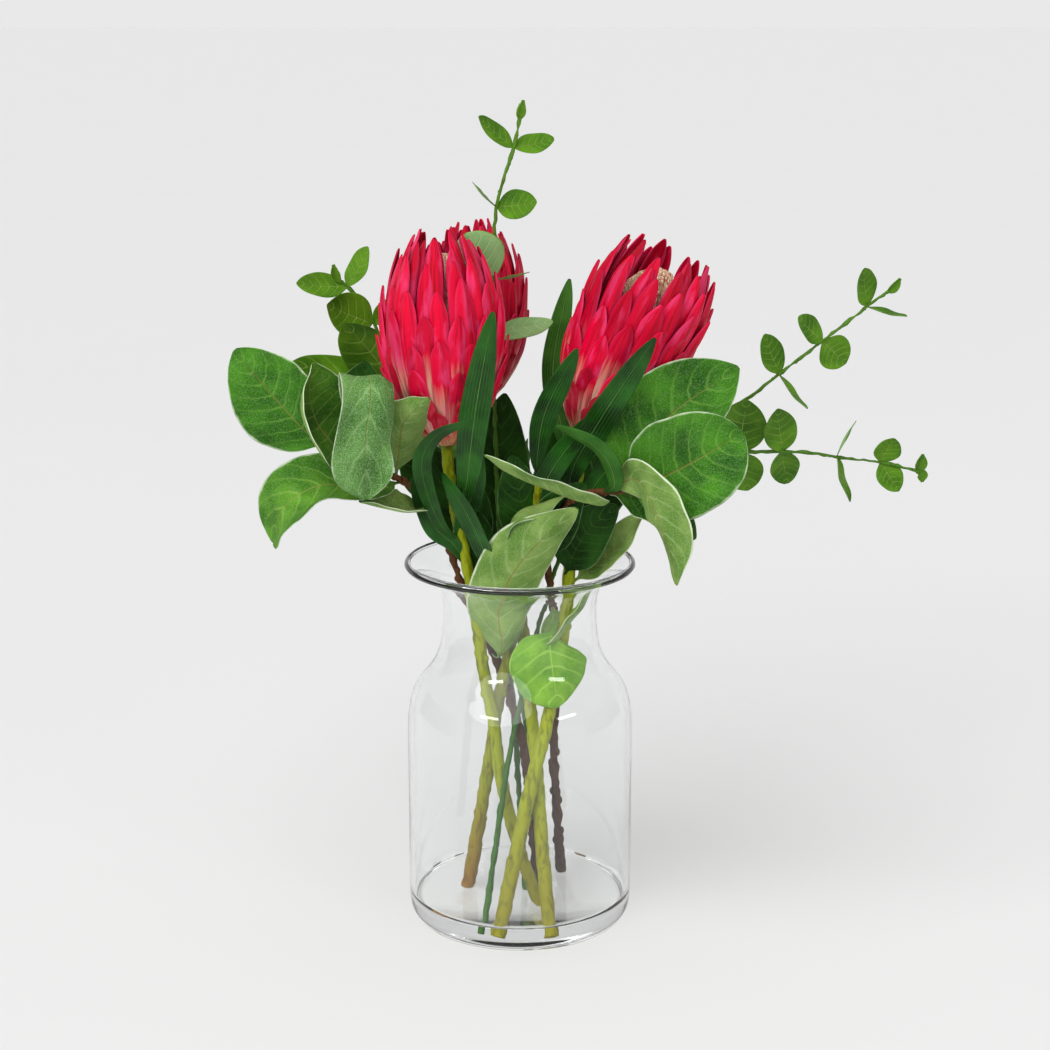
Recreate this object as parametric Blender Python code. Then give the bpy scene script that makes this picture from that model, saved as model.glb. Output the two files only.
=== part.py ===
"""Three protea flowers with eucalyptus and felted leaves, set in a clear layer inside a glass vase.

Metres, +Z up. The origin is the middle of the vase's foot, so the vase stands on the XY plane. Tables of
places are in millimetres and are multiplied by MM. Each stem, leaf, bract whorl and vessel is its own solid.
"""

import math
from dataclasses import dataclass

import bmesh
import bpy
from mathutils import Vector

MM = 0.001
GAP = 0.3  # clearance between two solids that rest on each other, mm
SEAT = 0.5  # from a stem's surface to the middle of a leaf's base, mm

# The vase: height and outer radius of each ring, from the lip down to the foot, mm.
VASE_OUTER = (
    (203.2, 61.9),
    (202.0, 62.5),
    (198.6, 57.0),
    (195.4, 49.5),
    (191.0, 44.4),
    (182.0, 41.7),
    (163.0, 42.4),
    (152.0, 44.6),
    (144.0, 48.4),
    (137.0, 54.0),
    (128.5, 59.0),
    (118.0, 61.3),
    (105.0, 61.8),
    (13.0, 61.8),
    (6.0, 60.9),
    (2.0, 58.6),
)
VASE_WALL = 3.0
VASE_FOOT_RADIUS = 55.0
VASE_FLOOR = 5.5
VASE_FLOOR_RADIUS = 52.0
VASE_FACETS = 32
WATER_TOP = 13.5
STEM_FOOT = VASE_FLOOR + 2.0  # height of the middle of every cut stem end

LEAF_THICKNESS = 0.7
BRACT_THICKNESS = 1.5
ROUTE_STEP = 13.0  # spacing of the points along a stem, mm


@dataclass(frozen=True)
class Stem:
    """A stem: hand-set route points in mm, and its radius at each end."""

    name: str
    route: tuple
    radii: tuple
    finish: str
    grows_from: str = ""
    sides_level: int = 1  # 1 gives 6 sides and 2 gives 8


@dataclass(frozen=True)
class Leaf:
    """One blade: its spine runs from near the stem to the tip, and facing is where its upper side looks."""

    name: str
    stem: str
    spine: tuple
    facing: tuple
    width: float
    curl: float
    outline: str
    finish: str
    petiole: float = 5.0


@dataclass(frozen=True)
class LeafPair:
    """Two opposite eucalyptus leaves joined where they clasp the stem."""

    name: str
    stem: str
    node: tuple
    tips: tuple
    facings: tuple
    widths: tuple


@dataclass(frozen=True)
class Bloom:
    """A protea head: its base and top in mm, its greatest radius, and its whorls of bracts."""

    name: str
    base: tuple
    top: tuple
    radius: float
    whorls: tuple


@dataclass(frozen=True)
class Whorl:
    """A ring of bracts joined at the base, from a share of the bloom's height to another."""

    part: str
    layer: int
    bracts: int
    notch: float
    tip: float


# (half-width exponent, place of the widest part): a low exponent is rounder, and a place over 1 is nearer
# the tip
OUTLINES = {
    "round": (0.55, 0.95),
    "oval": (0.75, 0.90),
    "pointed": (0.95, 0.85),
    "strap": (0.50, 1.20),
}

FINISHES = {
    "clear_glass": (0xEAF0EE, 0.02),
    "clear_resin": (0xF2F4EE, 0.03),
    "protea_stem": (0x93A12E, 0.55),
    "sprig_stem": (0x567A34, 0.55),
    "bark": (0x4E3629, 0.85),
    "felted_leaf": (0x5E8153, 0.85),
    "strap_leaf": (0x1F5226, 0.50),
    "eucalyptus_leaf": (0x5E8F30, 0.60),
    "bract": (0xD01245, 0.55),
    "flower_core": (0xD6BC96, 0.90),
}

STEMS = (
    Stem(
        "protea_left_stem",
        ((12, -20, STEM_FOOT), (-3, -13, 50), (-11, -9, 85), (-14, -9, 112), (-19, -11, 140))
        + ((-24, -14, 180), (-31, -19, 220), (-36.5, -23, 252), (-38, -24, 272.6)),
        (3.4, 3.0),
        "protea_stem",
        sides_level=2,
    ),
    Stem(
        "protea_back_stem",
        ((16, -49, STEM_FOOT), (12, -35, 50), (9, -20, 90), (5, -8, 130), (0, 5, 175), (-9, 20, 215))
        + ((-19, 35, 255), (-23, 40, 283.3)),
        (3.6, 3.0),
        "protea_stem",
        sides_level=2,
    ),
    Stem(
        "protea_right_stem",
        ((-11, -49, STEM_FOOT), (-2, -38, 50), (6, -31, 85), (14, -24, 116), (21, -14, 150), (26, -7, 190))
        + ((29, -2.5, 230), (32.5, -2.8, 262), (36, -4, 272.6)),
        (3.8, 3.0),
        "protea_stem",
        sides_level=2,
    ),
    Stem(
        "protea_shoot_stem",
        ((-30, 6, STEM_FOOT), (-23, 4, 50), (-16, 1, 95), (-11.5, -2, 125), (-4, -4, 160), (3, -10, 195))
        + ((8, -20, 230), (10, -27, 254)),
        (3.8, 2.4),
        "protea_stem",
        sides_level=2,
    ),
    Stem(
        "left_branch_stem",
        ((10, 6, STEM_FOOT), (6.5, 3, 60), (3, 0, 90), (-1.5, -0.5, 112), (-9.5, 4.5, 135), (-18, 3, 158))
        + ((-30, -3, 186), (-36, -9, 206), (-43, -15, 228), (-56, -21, 247), (-73, -25, 259))
        + ((-88, -28, 266), (-101, -28, 271)),
        (2.8, 1.4),
        "bark",
    ),
    Stem(
        "right_branch_stem",
        ((24, 27, STEM_FOOT), (21, 23, 50), (19, 19, 90), (20, 14, 125), (21, 8, 155), (18, 1, 178))
        + ((15, -9, 200), (16, -19, 222), (24, -28, 240), (36, -34, 248), (50, -42, 250), (56, -46, 252)),
        (2.8, 1.4),
        "bark",
    ),
    Stem(
        "sprig_top_stem",
        ((3, 1, STEM_FOOT), (0, 5, 60), (-3.5, 8, 112), (-6, 10, 150), (-10, 6, 195), (-12, 5, 235))
        + ((-13, 7, 270), (-15, 8, 327), (-14, 8, 354), (-12, 6, 392), (-3, 4, 423), (0, 3, 438)),
        (1.6, 0.8),
        "sprig_stem",
    ),
    Stem(
        "sprig_left_stem",
        ((12, 18, STEM_FOOT), (8, 18, 60), (2, 18, 112), (-7, 19, 150), (-20, 16, 190), (-36, 14, 228))
        + ((-56, 13, 268), (-70, 12, 308), (-80, 11, 336), (-94, 8, 353)),
        (1.6, 0.8),
        "sprig_stem",
    ),
    Stem(
        "sprig_upper_right_stem",
        ((-19, -43, STEM_FOOT), (-13, -28, 50), (-6, -14, 95), (2, 2, 128), (10, 9, 162), (20, 15, 195))
        + ((36, 20, 228), (62, 22, 256), (92, 18, 274), (119, 14, 287), (139, 11, 303), (161, 9, 321))
        + ((184, 6, 340), (194, 5, 348)),
        (1.6, 0.7),
        "sprig_stem",
    ),
    Stem(
        "sprig_lower_right_stem",
        ((62, 22, 256), (80, 14, 257), (118, 6, 261), (150, 3, 262), (172, 2, 259), (193, 0, 257))
        + ((214, -1, 252),),
        (1.0, 0.7),
        "sprig_stem",
        grows_from="sprig_upper_right_stem",
    ),
)

THREE_WHORLS = (
    Whorl("outer_bracts", 0, 8, 0.42, 0.60),
    Whorl("middle_bracts", 1, 8, 0.68, 0.86),
    Whorl("inner_bracts", 2, 8, 0.84, 1.00),
)
TWO_WHORLS = (
    Whorl("outer_bracts", 0, 8, 0.55, 0.75),
    Whorl("inner_bracts", 1, 8, 0.82, 1.00),
)
BLOOMS = (
    Bloom("left_bloom", (-38, -24, 273), (-41, -28, 383), 34, THREE_WHORLS),
    Bloom("right_bloom", (36, -4, 273), (77, -18, 373), 33, THREE_WHORLS),
    Bloom("back_bloom", (-23, 40, 284), (-24, 41, 381), 29, TWO_WHORLS),
)
# Share of the bloom's height and of its greatest radius, from the stem up
BLOOM_OUTLINE = (
    (0.0, 0.20),
    (0.03, 0.30),
    (0.08, 0.45),
    (0.16, 0.63),
    (0.28, 0.83),
    (0.42, 0.96),
    (0.55, 1.00),
    (0.68, 0.97),
    (0.80, 0.86),
    (0.91, 0.68),
    (1.0, 0.48),
)
LAYER_STEP = 3.0  # from one whorl's outer face to the next one's, mm
FLOOR_STEP = 2.0  # the same, where the whorls rest on each other at the bottom
CORE_SHARE = 0.52
CORE_TOP = 0.84
CORE_FACETS = 12

LEAVES = (
    Leaf(
        "left_branch_end_leaf",
        "left_branch_stem",
        ((-101, -28, 271), (-109, -27, 277), (-124, -26, 293), (-148, -20, 321)),
        (-0.25, -1, 0.25),
        42,
        14,
        "oval",
        "felted_leaf",
    ),
    Leaf(
        "left_branch_cupped_leaf",
        "left_branch_stem",
        ((-92, -28, 267), (-97, -42, 276), (-101, -54, 293), (-99, -56, 318)),
        (-0.75, -0.6, 0.3),
        46,
        52,
        "round",
        "felted_leaf",
    ),
    Leaf(
        "left_branch_rear_leaf",
        "left_branch_stem",
        ((-86, -27, 265), (-87, -20, 277), (-84, -16, 292), (-80, -14, 314)),
        (-0.1, -1, 0.2),
        28,
        14,
        "oval",
        "felted_leaf",
    ),
    Leaf(
        "left_branch_hanging_leaf",
        "left_branch_stem",
        ((-76, -26, 260), (-79, -44, 284), (-79, -58, 309), (-79, -68, 300), (-77, -73, 272))
        + ((-73, -70, 245),),
        (0, 1, 0.5),
        31,
        24,
        "oval",
        "felted_leaf",
        petiole=18,
    ),
    Leaf(
        "left_branch_curled_leaf",
        "left_branch_stem",
        ((-65, -23, 254), (-62, -34, 268), (-60, -47, 286), (-56, -61, 301)),
        (0.3, 0.6, 0.8),
        22,
        48,
        "oval",
        "felted_leaf",
        petiole=8,
    ),
    Leaf(
        "left_branch_low_leaf",
        "left_branch_stem",
        ((-62, -22, 251), (-80, -42, 250), (-106, -50, 253), (-127, -51, 239), (-134, -50, 218)),
        (0, -0.6, 1),
        27,
        26,
        "oval",
        "felted_leaf",
        petiole=10,
    ),
    Leaf(
        "left_branch_small_leaf",
        "left_branch_stem",
        ((-50, -19, 239), (-57, -36, 240), (-70, -48, 243), (-79, -54, 245)),
        (0, -0.5, 1),
        18,
        30,
        "oval",
        "felted_leaf",
        petiole=8,
    ),
    Leaf(
        "right_branch_round_leaf",
        "right_branch_stem",
        ((56, -46, 252), (66, -60, 257), (87, -70, 268), (112, -66, 282)),
        (-0.1, -1, 0.1),
        54,
        14,
        "round",
        "felted_leaf",
    ),
    Leaf(
        "right_branch_rear_leaf",
        "right_branch_stem",
        ((51, -42, 250), (58, -43, 265), (77, -44, 291), (112, -38, 315)),
        (-0.35, -1, 0.1),
        48,
        20,
        "oval",
        "felted_leaf",
    ),
    Leaf(
        "right_branch_hanging_leaf",
        "right_branch_stem",
        ((46, -39, 249), (54, -52, 244), (68, -64, 231), (81, -67, 205)),
        (0.5, -0.8, 0.6),
        28,
        20,
        "pointed",
        "felted_leaf",
        petiole=8,
    ),
    Leaf(
        "right_branch_long_leaf",
        "right_branch_stem",
        ((34, -33, 247), (36, -50, 243), (18, -63, 254), (-18, -72, 277)),
        (0.2, 0.2, 1),
        28,
        20,
        "oval",
        "felted_leaf",
        petiole=10,
    ),
    Leaf(
        "neck_broad_leaf",
        "left_branch_stem",
        ((-15, 3.5, 150), (-11.5, -8, 149), (-6, -18, 154), (0, -24, 180), (12, -36, 212), (28, -50, 243)),
        (0.1, 0.3, 1),
        36,
        50,
        "oval",
        "felted_leaf",
        petiole=24,
    ),
    Leaf(
        "shadow_leaf",
        "protea_shoot_stem",
        ((7, -17, 220), (0, -24, 226), (-4, -28, 236), (-2, -34, 250)),
        (-0.4, -1, 0.4),
        20,
        16,
        "oval",
        "felted_leaf",
    ),
    Leaf(
        "rim_leaf",
        "protea_right_stem",
        ((26, -5, 190), (38, -8, 203), (52, -13, 217), (68, -19, 230)),
        (-0.3, -0.8, 0.7),
        18,
        22,
        "pointed",
        "felted_leaf",
        petiole=9,
    ),
    Leaf(
        "neck_hanging_leaf",
        "protea_right_stem",
        ((24.5, -6, 174), (17, -17, 166), (10, -21, 154), (20, -21, 147), (37, -14, 143)),
        (0.1, -1, 0.1),
        34,
        10,
        "round",
        "felted_leaf",
        petiole=22,
    ),
    Leaf(
        "strap_leaf_left",
        "protea_left_stem",
        ((-33, -20, 234), (-28, -36, 250), (-22, -59, 297), (-13, -63, 347)),
        (0.1, -1, 0.3),
        15,
        14,
        "strap",
        "strap_leaf",
    ),
    Leaf(
        "strap_leaf_centre",
        "protea_shoot_stem",
        ((10, -27, 254), (9, -34, 265), (13, -46, 293), (29, -55, 327)),
        (0.1, -1, 0.35),
        14,
        14,
        "strap",
        "strap_leaf",
    ),
    Leaf(
        "strap_leaf_right",
        "protea_right_stem",
        ((29.5, -2.5, 236), (27, -24, 256), (43, -49, 293), (68, -58, 333)),
        (-0.2, -1, 0.3),
        15,
        14,
        "strap",
        "strap_leaf",
    ),
    Leaf(
        "strap_leaf_curved",
        "protea_left_stem",
        ((-31, -19, 216), (-43, -34, 234), (-50, -52, 266), (-42, -62, 284), (-24, -66, 292)),
        (-0.4, -1, 0.3),
        9,
        14,
        "strap",
        "strap_leaf",
    ),
    Leaf(
        "strap_leaf_arched",
        "right_branch_stem",
        ((42, -37, 249), (49, -50, 256), (41, -60, 276), (18, -64, 290)),
        (0.6, -0.7, 0.5),
        12,
        14,
        "strap",
        "strap_leaf",
    ),
    Leaf(
        "strap_leaf_inner",
        "protea_left_stem",
        ((-26, -15, 192), (-17, -25, 206), (-26, -36, 234), (-40, -40, 260)),
        (0.1, -1, 0.3),
        13,
        14,
        "strap",
        "strap_leaf",
    ),
    Leaf(
        "strap_leaf_rear",
        "protea_right_stem",
        ((30, -2.5, 244), (25, 9, 264), (18, 26, 302), (27, 35, 351)),
        (0.1, 1, 0.2),
        13,
        14,
        "strap",
        "strap_leaf",
    ),
)

LEAF_PAIRS = (
    LeafPair(
        "top_pair_1",
        "sprig_top_stem",
        (-3, 4, 423),
        ((-21, -4, 439), (18, 8, 427)),
        ((0.4, -0.8, 0.5), (0, -1, 0.6)),
        (11, 12),
    ),
    LeafPair(
        "top_pair_2",
        "sprig_top_stem",
        (-12, 6, 392),
        ((-24, -6, 406), (9, 1, 395)),
        ((0.8, -0.3, 0.5), (0, -1, 0.5)),
        (13, 16),
    ),
    LeafPair(
        "top_pair_3",
        "sprig_top_stem",
        (-14, 8, 354),
        ((-20, -4, 379), (5, -8, 364)),
        ((0, -1, 0.1), (-0.3, -0.6, 1)),
        (30, 16),
    ),
    LeafPair(
        "top_pair_4",
        "sprig_top_stem",
        (-15, 8, 324),
        ((-8, -8, 313), (18, 16, 331)),
        ((1, -0.2, 0.4), (0, -0.8, 0.8)),
        (12, 14),
    ),
    LeafPair(
        "left_pair_1",
        "sprig_left_stem",
        (-91, 8.5, 350),
        ((-117, 0, 353), (-80, 10, 371)),
        ((0, -0.9, 0.6), (-0.6, -0.9, 0.2)),
        (15, 13),
    ),
    LeafPair(
        "left_pair_2",
        "sprig_left_stem",
        (-78, 11, 330),
        ((-101, -4, 342), (-62, 8, 344)),
        ((0.1, -1, 0.3), (0.2, -1, 0.3)),
        (22, 12),
    ),
    LeafPair(
        "left_pair_3",
        "sprig_left_stem",
        (-66, 12, 296),
        ((-114, 6, 307), (-94, -6, 326)),
        ((0, -0.9, 0.7), (-0.3, -1, 0.1)),
        (16, 22),
    ),
    LeafPair(
        "upper_right_pair_1",
        "sprig_upper_right_stem",
        (184, 6, 340),
        ((180, -2, 361), (203, -4, 336)),
        ((0.7, -0.9, 0), (0.5, -0.3, 0.9)),
        (16, 12),
    ),
    LeafPair(
        "upper_right_pair_2",
        "sprig_upper_right_stem",
        (161, 9, 321),
        ((147, 2, 335), (175, 14, 308)),
        ((0.5, -0.9, 0.5), (0.3, -1, 0)),
        (15, 17),
    ),
    LeafPair(
        "upper_right_pair_3",
        "sprig_upper_right_stem",
        (139, 11, 303),
        ((130, 7, 325), (153, 0, 286)),
        ((0.5, -1, 0), (0.7, -0.2, 0.8)),
        (15, 12),
    ),
    LeafPair(
        "lower_right_pair_1",
        "sprig_lower_right_stem",
        (193, 0, 257),
        ((199, -5, 271), (203, -4, 242)),
        ((0.3, -1, 0), (0.4, -1, 0)),
        (16, 15),
    ),
    LeafPair(
        "lower_right_pair_2",
        "sprig_lower_right_stem",
        (170, 2, 259.5),
        ((178, -8, 281), (177, -4, 236)),
        ((0.7, -0.7, 0), (0.7, -0.7, 0)),
        (12, 13),
    ),
    LeafPair(
        "lower_right_pair_3",
        "sprig_lower_right_stem",
        (141, 4, 262),
        ((136, -10, 288), (145, 14, 242)),
        ((0.1, -1, 0.1), (0.1, -1, 0)),
        (18, 17),
    ),
    LeafPair(
        "lower_right_pair_4",
        "sprig_lower_right_stem",
        (118, 6, 261),
        ((120, -6, 289), (124, 14, 238)),
        ((0, -1, 0.1), (0, -1, 0)),
        (24, 22),
    ),
)


def clear_scene():
    for old in list(bpy.data.objects):
        bpy.data.objects.remove(old)


def linear(channel):
    """An sRGB channel from 0 to 1 as linear light."""
    return channel / 12.92 if channel <= 0.04045 else ((channel + 0.055) / 1.055) ** 2.4


def finish_material(name):
    """The finish's Principled material, made once."""
    found = bpy.data.materials.get(name)
    if found:
        return found
    colour, roughness = FINISHES[name]
    material = bpy.data.materials.new(name)
    material.use_nodes = True
    shader = material.node_tree.nodes["Principled BSDF"]
    channels = [linear((colour >> shift & 255) / 255) for shift in (16, 8, 0)]
    shader.inputs["Base Color"].default_value = (*channels, 1)
    shader.inputs["Roughness"].default_value = roughness
    shader.inputs["Metallic"].default_value = 0
    if name.startswith("clear"):
        shader.inputs["Transmission Weight"].default_value = 1
    return material


def add_object(name, mesh, finish):
    """Links a mesh into the scene with its finish, shaded smooth over its gentle edges."""
    mesh.materials.append(finish_material(finish))
    mesh.shade_smooth()
    mesh.set_sharp_from_angle(angle=math.radians(40))
    made = bpy.data.objects.new(name, mesh)
    bpy.context.scene.collection.objects.link(made)
    return made


def smooth_route(points, step=ROUTE_STEP):
    """Points about a step apart on one smooth curve through the given ones, in mm."""
    knots = [Vector(p) for p in points]
    knots = [2 * knots[0] - knots[1], *knots, 2 * knots[-1] - knots[-2]]
    route = []
    for before, start, end, after in zip(knots, knots[1:], knots[2:], knots[3:]):
        pieces = max(1, round((end - start).length / step))
        for i in range(pieces):
            t = i / pieces
            route.append(
                0.5
                * (
                    2 * start
                    + (end - before) * t
                    + (2 * before - 5 * start + 4 * end - after) * t**2
                    + (3 * start - before - 3 * end + after) * t**3
                )
            )
    return [*route, knots[-2]]


def tube_mesh(name, centres, radii, sides_level):
    """A closed tube along the centres, its radius running from the first number to the second, in mm."""
    curve = bpy.data.curves.new(name, "CURVE")
    curve.dimensions = "3D"
    curve.bevel_depth = MM
    curve.bevel_resolution = sides_level
    curve.use_fill_caps = True
    spline = curve.splines.new("POLY")
    spline.points.add(len(centres) - 1)
    for i, (point, centre) in enumerate(zip(spline.points, centres)):
        share = i / (len(centres) - 1)
        point.co = (*(centre * MM), 1)
        point.radius = radii[0] + (radii[1] - radii[0]) * share
    guide = bpy.data.objects.new(name + "_guide", curve)
    bpy.context.scene.collection.objects.link(guide)
    bpy.context.view_layer.update()
    evaluated = guide.evaluated_get(bpy.context.evaluated_depsgraph_get())
    mesh = bpy.data.meshes.new_from_object(evaluated)
    mesh.materials.clear()
    bpy.data.objects.remove(guide)
    edit = bmesh.new()
    edit.from_mesh(mesh)
    bmesh.ops.remove_doubles(edit, verts=edit.verts, dist=0.001 * MM)
    bmesh.ops.recalc_face_normals(edit, faces=edit.faces)
    edit.to_mesh(mesh)
    edit.free()
    return mesh


def nearest_on(stem, point):
    """The stem's centre nearest a point, its direction and radius there, and whether it is the end."""
    route = stem_routes[stem.name]
    found = []
    for i, (start, end) in enumerate(zip(route, route[1:])):
        share = (point - start).dot(end - start) / (end - start).length_squared
        share = min(max(share, 0), 1)
        centre = start.lerp(end, share)
        found.append(((centre - point).length, i + share, centre, (end - start).normalized()))
    _, place, centre, along = min(found, key=lambda item: item[0])
    last = len(route) - 1
    radius = stem.radii[0] + (stem.radii[1] - stem.radii[0]) * place / last
    return centre, along, radius, place == last


def seat_on(stem, point, towards, clearance):
    """Where something that grows from the stem near a point, heading towards another, starts."""
    centre, along, radius, at_end = nearest_on(stem, point)
    if at_end:
        return centre + along * clearance
    out = towards - centre
    out -= out.dot(along) * along
    return centre + out.normalized() * (radius + clearance)


def build_stem(stem):
    """The stem's solid. A side stem starts just off the stem that it grows from."""
    points = [Vector(p) for p in stem.route]
    if stem.grows_from:
        points[0] = seat_on(STEM_BY_NAME[stem.grows_from], points[0], points[1], 2 * GAP)
    route = smooth_route(points)
    stem_routes[stem.name] = route
    add_object(stem.name, tube_mesh(stem.name, route, stem.radii, stem.sides_level), stem.finish)


def offset_inwards(profile, distance):
    """A (height, radius) profile moved a distance towards the axis side, square to its own slope."""
    moved = []
    for i, (height, radius) in enumerate(profile):
        h0, r0 = profile[max(i - 1, 0)]
        h1, r1 = profile[min(i + 1, len(profile) - 1)]
        length = math.hypot(h1 - h0, r1 - r0)
        moved.append((height + distance * (r1 - r0) / length, radius - distance * (h1 - h0) / length))
    return moved


def revolve(name, profile, finish, facets):
    """A solid turned about Z from a (height, radius) profile that starts and ends on the axis."""
    edit = bmesh.new()
    ring = [edit.verts.new((radius * MM, 0, height * MM)) for height, radius in profile]
    edges = [edit.edges.new(pair) for pair in zip(ring, ring[1:])]
    bmesh.ops.spin(
        edit,
        geom=[*ring, *edges],
        cent=(0, 0, 0),
        axis=(0, 0, 1),
        angle=2 * math.pi,
        steps=facets,
        use_merge=True,
    )
    bmesh.ops.remove_doubles(edit, verts=edit.verts, dist=0.001 * MM)
    bmesh.ops.recalc_face_normals(edit, faces=edit.faces)
    mesh = bpy.data.meshes.new(name)
    edit.to_mesh(mesh)
    edit.free()
    return add_object(name, mesh, finish)


def vase_inside(clearance):
    """The (height, radius) profile of the vase's inner wall from the floor up, moved in by a clearance."""
    wall = offset_inwards(VASE_OUTER[::-1], VASE_WALL + clearance)
    standing = [(height, radius) for height, radius in wall if height > VASE_FLOOR + 4]
    corner = [
        (VASE_FLOOR + clearance, VASE_FLOOR_RADIUS),
        (VASE_FLOOR + clearance + 1.3, VASE_FLOOR_RADIUS + 4.0),
        (VASE_FLOOR + clearance + 4.0, VASE_FLOOR_RADIUS + 6.1 - clearance),
    ]
    return corner + standing


def build_vase():
    inside = [(VASE_FLOOR, 0), *vase_inside(0)]
    outside = [*VASE_OUTER, (0, VASE_FOOT_RADIUS), (0, 0)]
    revolve("glass_vase", inside + outside, "clear_glass", VASE_FACETS)


def build_clear_layer():
    """The clear set layer that holds the stems' feet, with a bored place for each of them."""
    wall = [(h, r) for h, r in vase_inside(GAP) if h < WATER_TOP]
    bottom = VASE_FLOOR + GAP
    wall_radius = vase_inside(GAP)[len(wall)][1]
    profile = [(WATER_TOP, 0), (WATER_TOP, wall_radius), *wall[::-1], (bottom, 0)]
    layer = revolve("clear_set_layer", profile, "clear_resin", VASE_FACETS)
    for stem in STEMS:
        if stem.grows_from:
            continue
        foot = stem_routes[stem.name][0]
        heading = (stem_routes[stem.name][2] - foot).normalized()
        reach = 10 / heading.z
        radius = stem.radii[0] + GAP
        ends = [foot - heading * 3, foot + heading * reach]
        hole = tube_mesh("hole_" + stem.name, ends, (radius, radius), 2)
        cutter = bpy.data.objects.new("hole_" + stem.name, hole)
        bpy.context.scene.collection.objects.link(cutter)
        cutter.hide_render = True
        cutter.display_type = "WIRE"
        cut = layer.modifiers.new("hole_" + stem.name, "BOOLEAN")
        cut.operation = "DIFFERENCE"
        cut.object = cutter


def outline_width(outline, share):
    """Half-width of a blade, from 0 to 1, at a share of its length."""
    fullness, place = OUTLINES[outline]
    return math.sin(math.pi * min(max(share, 0), 1) ** place) ** fullness


def carried_facings(spine, facing):
    """The blade's upper direction at each spine point, turned only as much as the spine itself turns."""
    facings = []
    current = Vector(facing)
    for i in range(len(spine)):
        along = (spine[min(i + 1, len(spine) - 1)] - spine[max(i - 1, 0)]).normalized()
        current = (current - current.dot(along) * along).normalized()
        facings.append(current)
    return facings


def blade(name, spine, half_widths, facings, curls, across, finish):
    """A closed thin leaf: a grid laid along its spine and bent across into an arc, in mm."""
    edit = bmesh.new()
    rows = len(spine) - 1
    bmesh.ops.create_grid(edit, x_segments=rows, y_segments=across, size=1)
    for vert in edit.verts:
        i = round((vert.co.x + 1) / 2 * rows)
        side = vert.co.y
        along = (spine[min(i + 1, rows)] - spine[max(i - 1, 0)]).normalized()
        sideways = facings[i].cross(along)
        bend = math.radians(curls[i])
        out = math.sin(bend * side) / bend
        rise = (1 - math.cos(bend * side)) / bend
        vert.co = (spine[i] + half_widths[i] * (sideways * out + facings[i] * rise)) * MM
    mesh = bpy.data.meshes.new(name)
    edit.to_mesh(mesh)
    edit.free()
    made = add_object(name, mesh, finish)
    body = made.modifiers.new("thickness", "SOLIDIFY")
    body.thickness = LEAF_THICKNESS * MM
    body.offset = 0
    return made


def spaced(points, count):
    """A number of points evenly spaced along a smooth curve through the given ones."""
    fine = smooth_route(points, 0.5)
    lengths = [0]
    for a, b in zip(fine, fine[1:]):
        lengths.append(lengths[-1] + (b - a).length)
    chosen = []
    for i in range(count):
        target = lengths[-1] * i / (count - 1)
        nearest = min(range(len(fine)), key=lambda j: abs(lengths[j] - target))
        chosen.append(fine[nearest])
    return chosen, lengths[-1]


def build_leaf(leaf, rows=8):
    stem = STEM_BY_NAME[leaf.stem]
    points = [Vector(p) for p in leaf.spine]
    points[0] = seat_on(stem, points[0], points[1], SEAT)
    spine, length = spaced(points, rows + 1)
    stalk = leaf.petiole / length
    half_widths = []
    for i in range(rows + 1):
        share = (i / rows - stalk) / (1 - stalk)
        half_widths.append(max(0.7, leaf.width / 2 * outline_width(leaf.outline, share)))
    curls = [max(leaf.curl, 4)] * (rows + 1)
    across = 2 if leaf.outline == "strap" else 4
    blade(leaf.name, spine, half_widths, carried_facings(spine, leaf.facing), curls, across, leaf.finish)


def build_leaf_pair(pair, rows=6):
    """Both leaves as one blade, from tip to tip past the side of the stem."""
    stem = STEM_BY_NAME[pair.stem]
    node = Vector(pair.node)
    centre, along, radius, _ = nearest_on(stem, node)
    first, second = (Vector(tip) for tip in pair.tips)
    out = (first - centre).normalized() + (second - centre).normalized()
    out += Vector(pair.facings[0]) + Vector(pair.facings[1])
    out = (out - out.dot(along) * along).normalized()
    clasp = centre + out * (radius + SEAT + LEAF_THICKNESS / 2)
    spine = []
    half_widths = []
    facings = []
    for tip, facing, width, order in zip((first, second), pair.facings, pair.widths, (-1, 1)):
        side = []
        for i in range(rows + 1):
            share = i / rows
            point = clasp.lerp(tip, share) + out * (0.05 * width * math.sin(math.pi * share))
            half = max(0.6, width / 2 * outline_width("round", share))
            upwards = out.lerp(Vector(facing), min(1, 2.5 * share))
            side.append((point, half, upwards))
        if order < 0:
            side = side[::-1]
        else:
            side = side[1:]
        for point, half, upwards in side:
            spine.append(point)
            half_widths.append(half)
            facings.append(upwards)
    count = len(spine)
    for i in range(count):
        direction = (spine[min(i + 1, count - 1)] - spine[max(i - 1, 0)]).normalized()
        facings[i] = (facings[i] - facings[i].dot(direction) * direction).normalized()
    blade(pair.name, spine, half_widths, facings, [8] * count, 2, "eucalyptus_leaf")


def bloom_radius(share):
    """The bloom's radius, as a share of its greatest, at a share of its height."""
    for (h0, r0), (h1, r1) in zip(BLOOM_OUTLINE, BLOOM_OUTLINE[1:]):
        if share <= h1:
            return r0 + (r1 - r0) * (share - h0) / (h1 - h0)
    return BLOOM_OUTLINE[-1][1]


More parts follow.
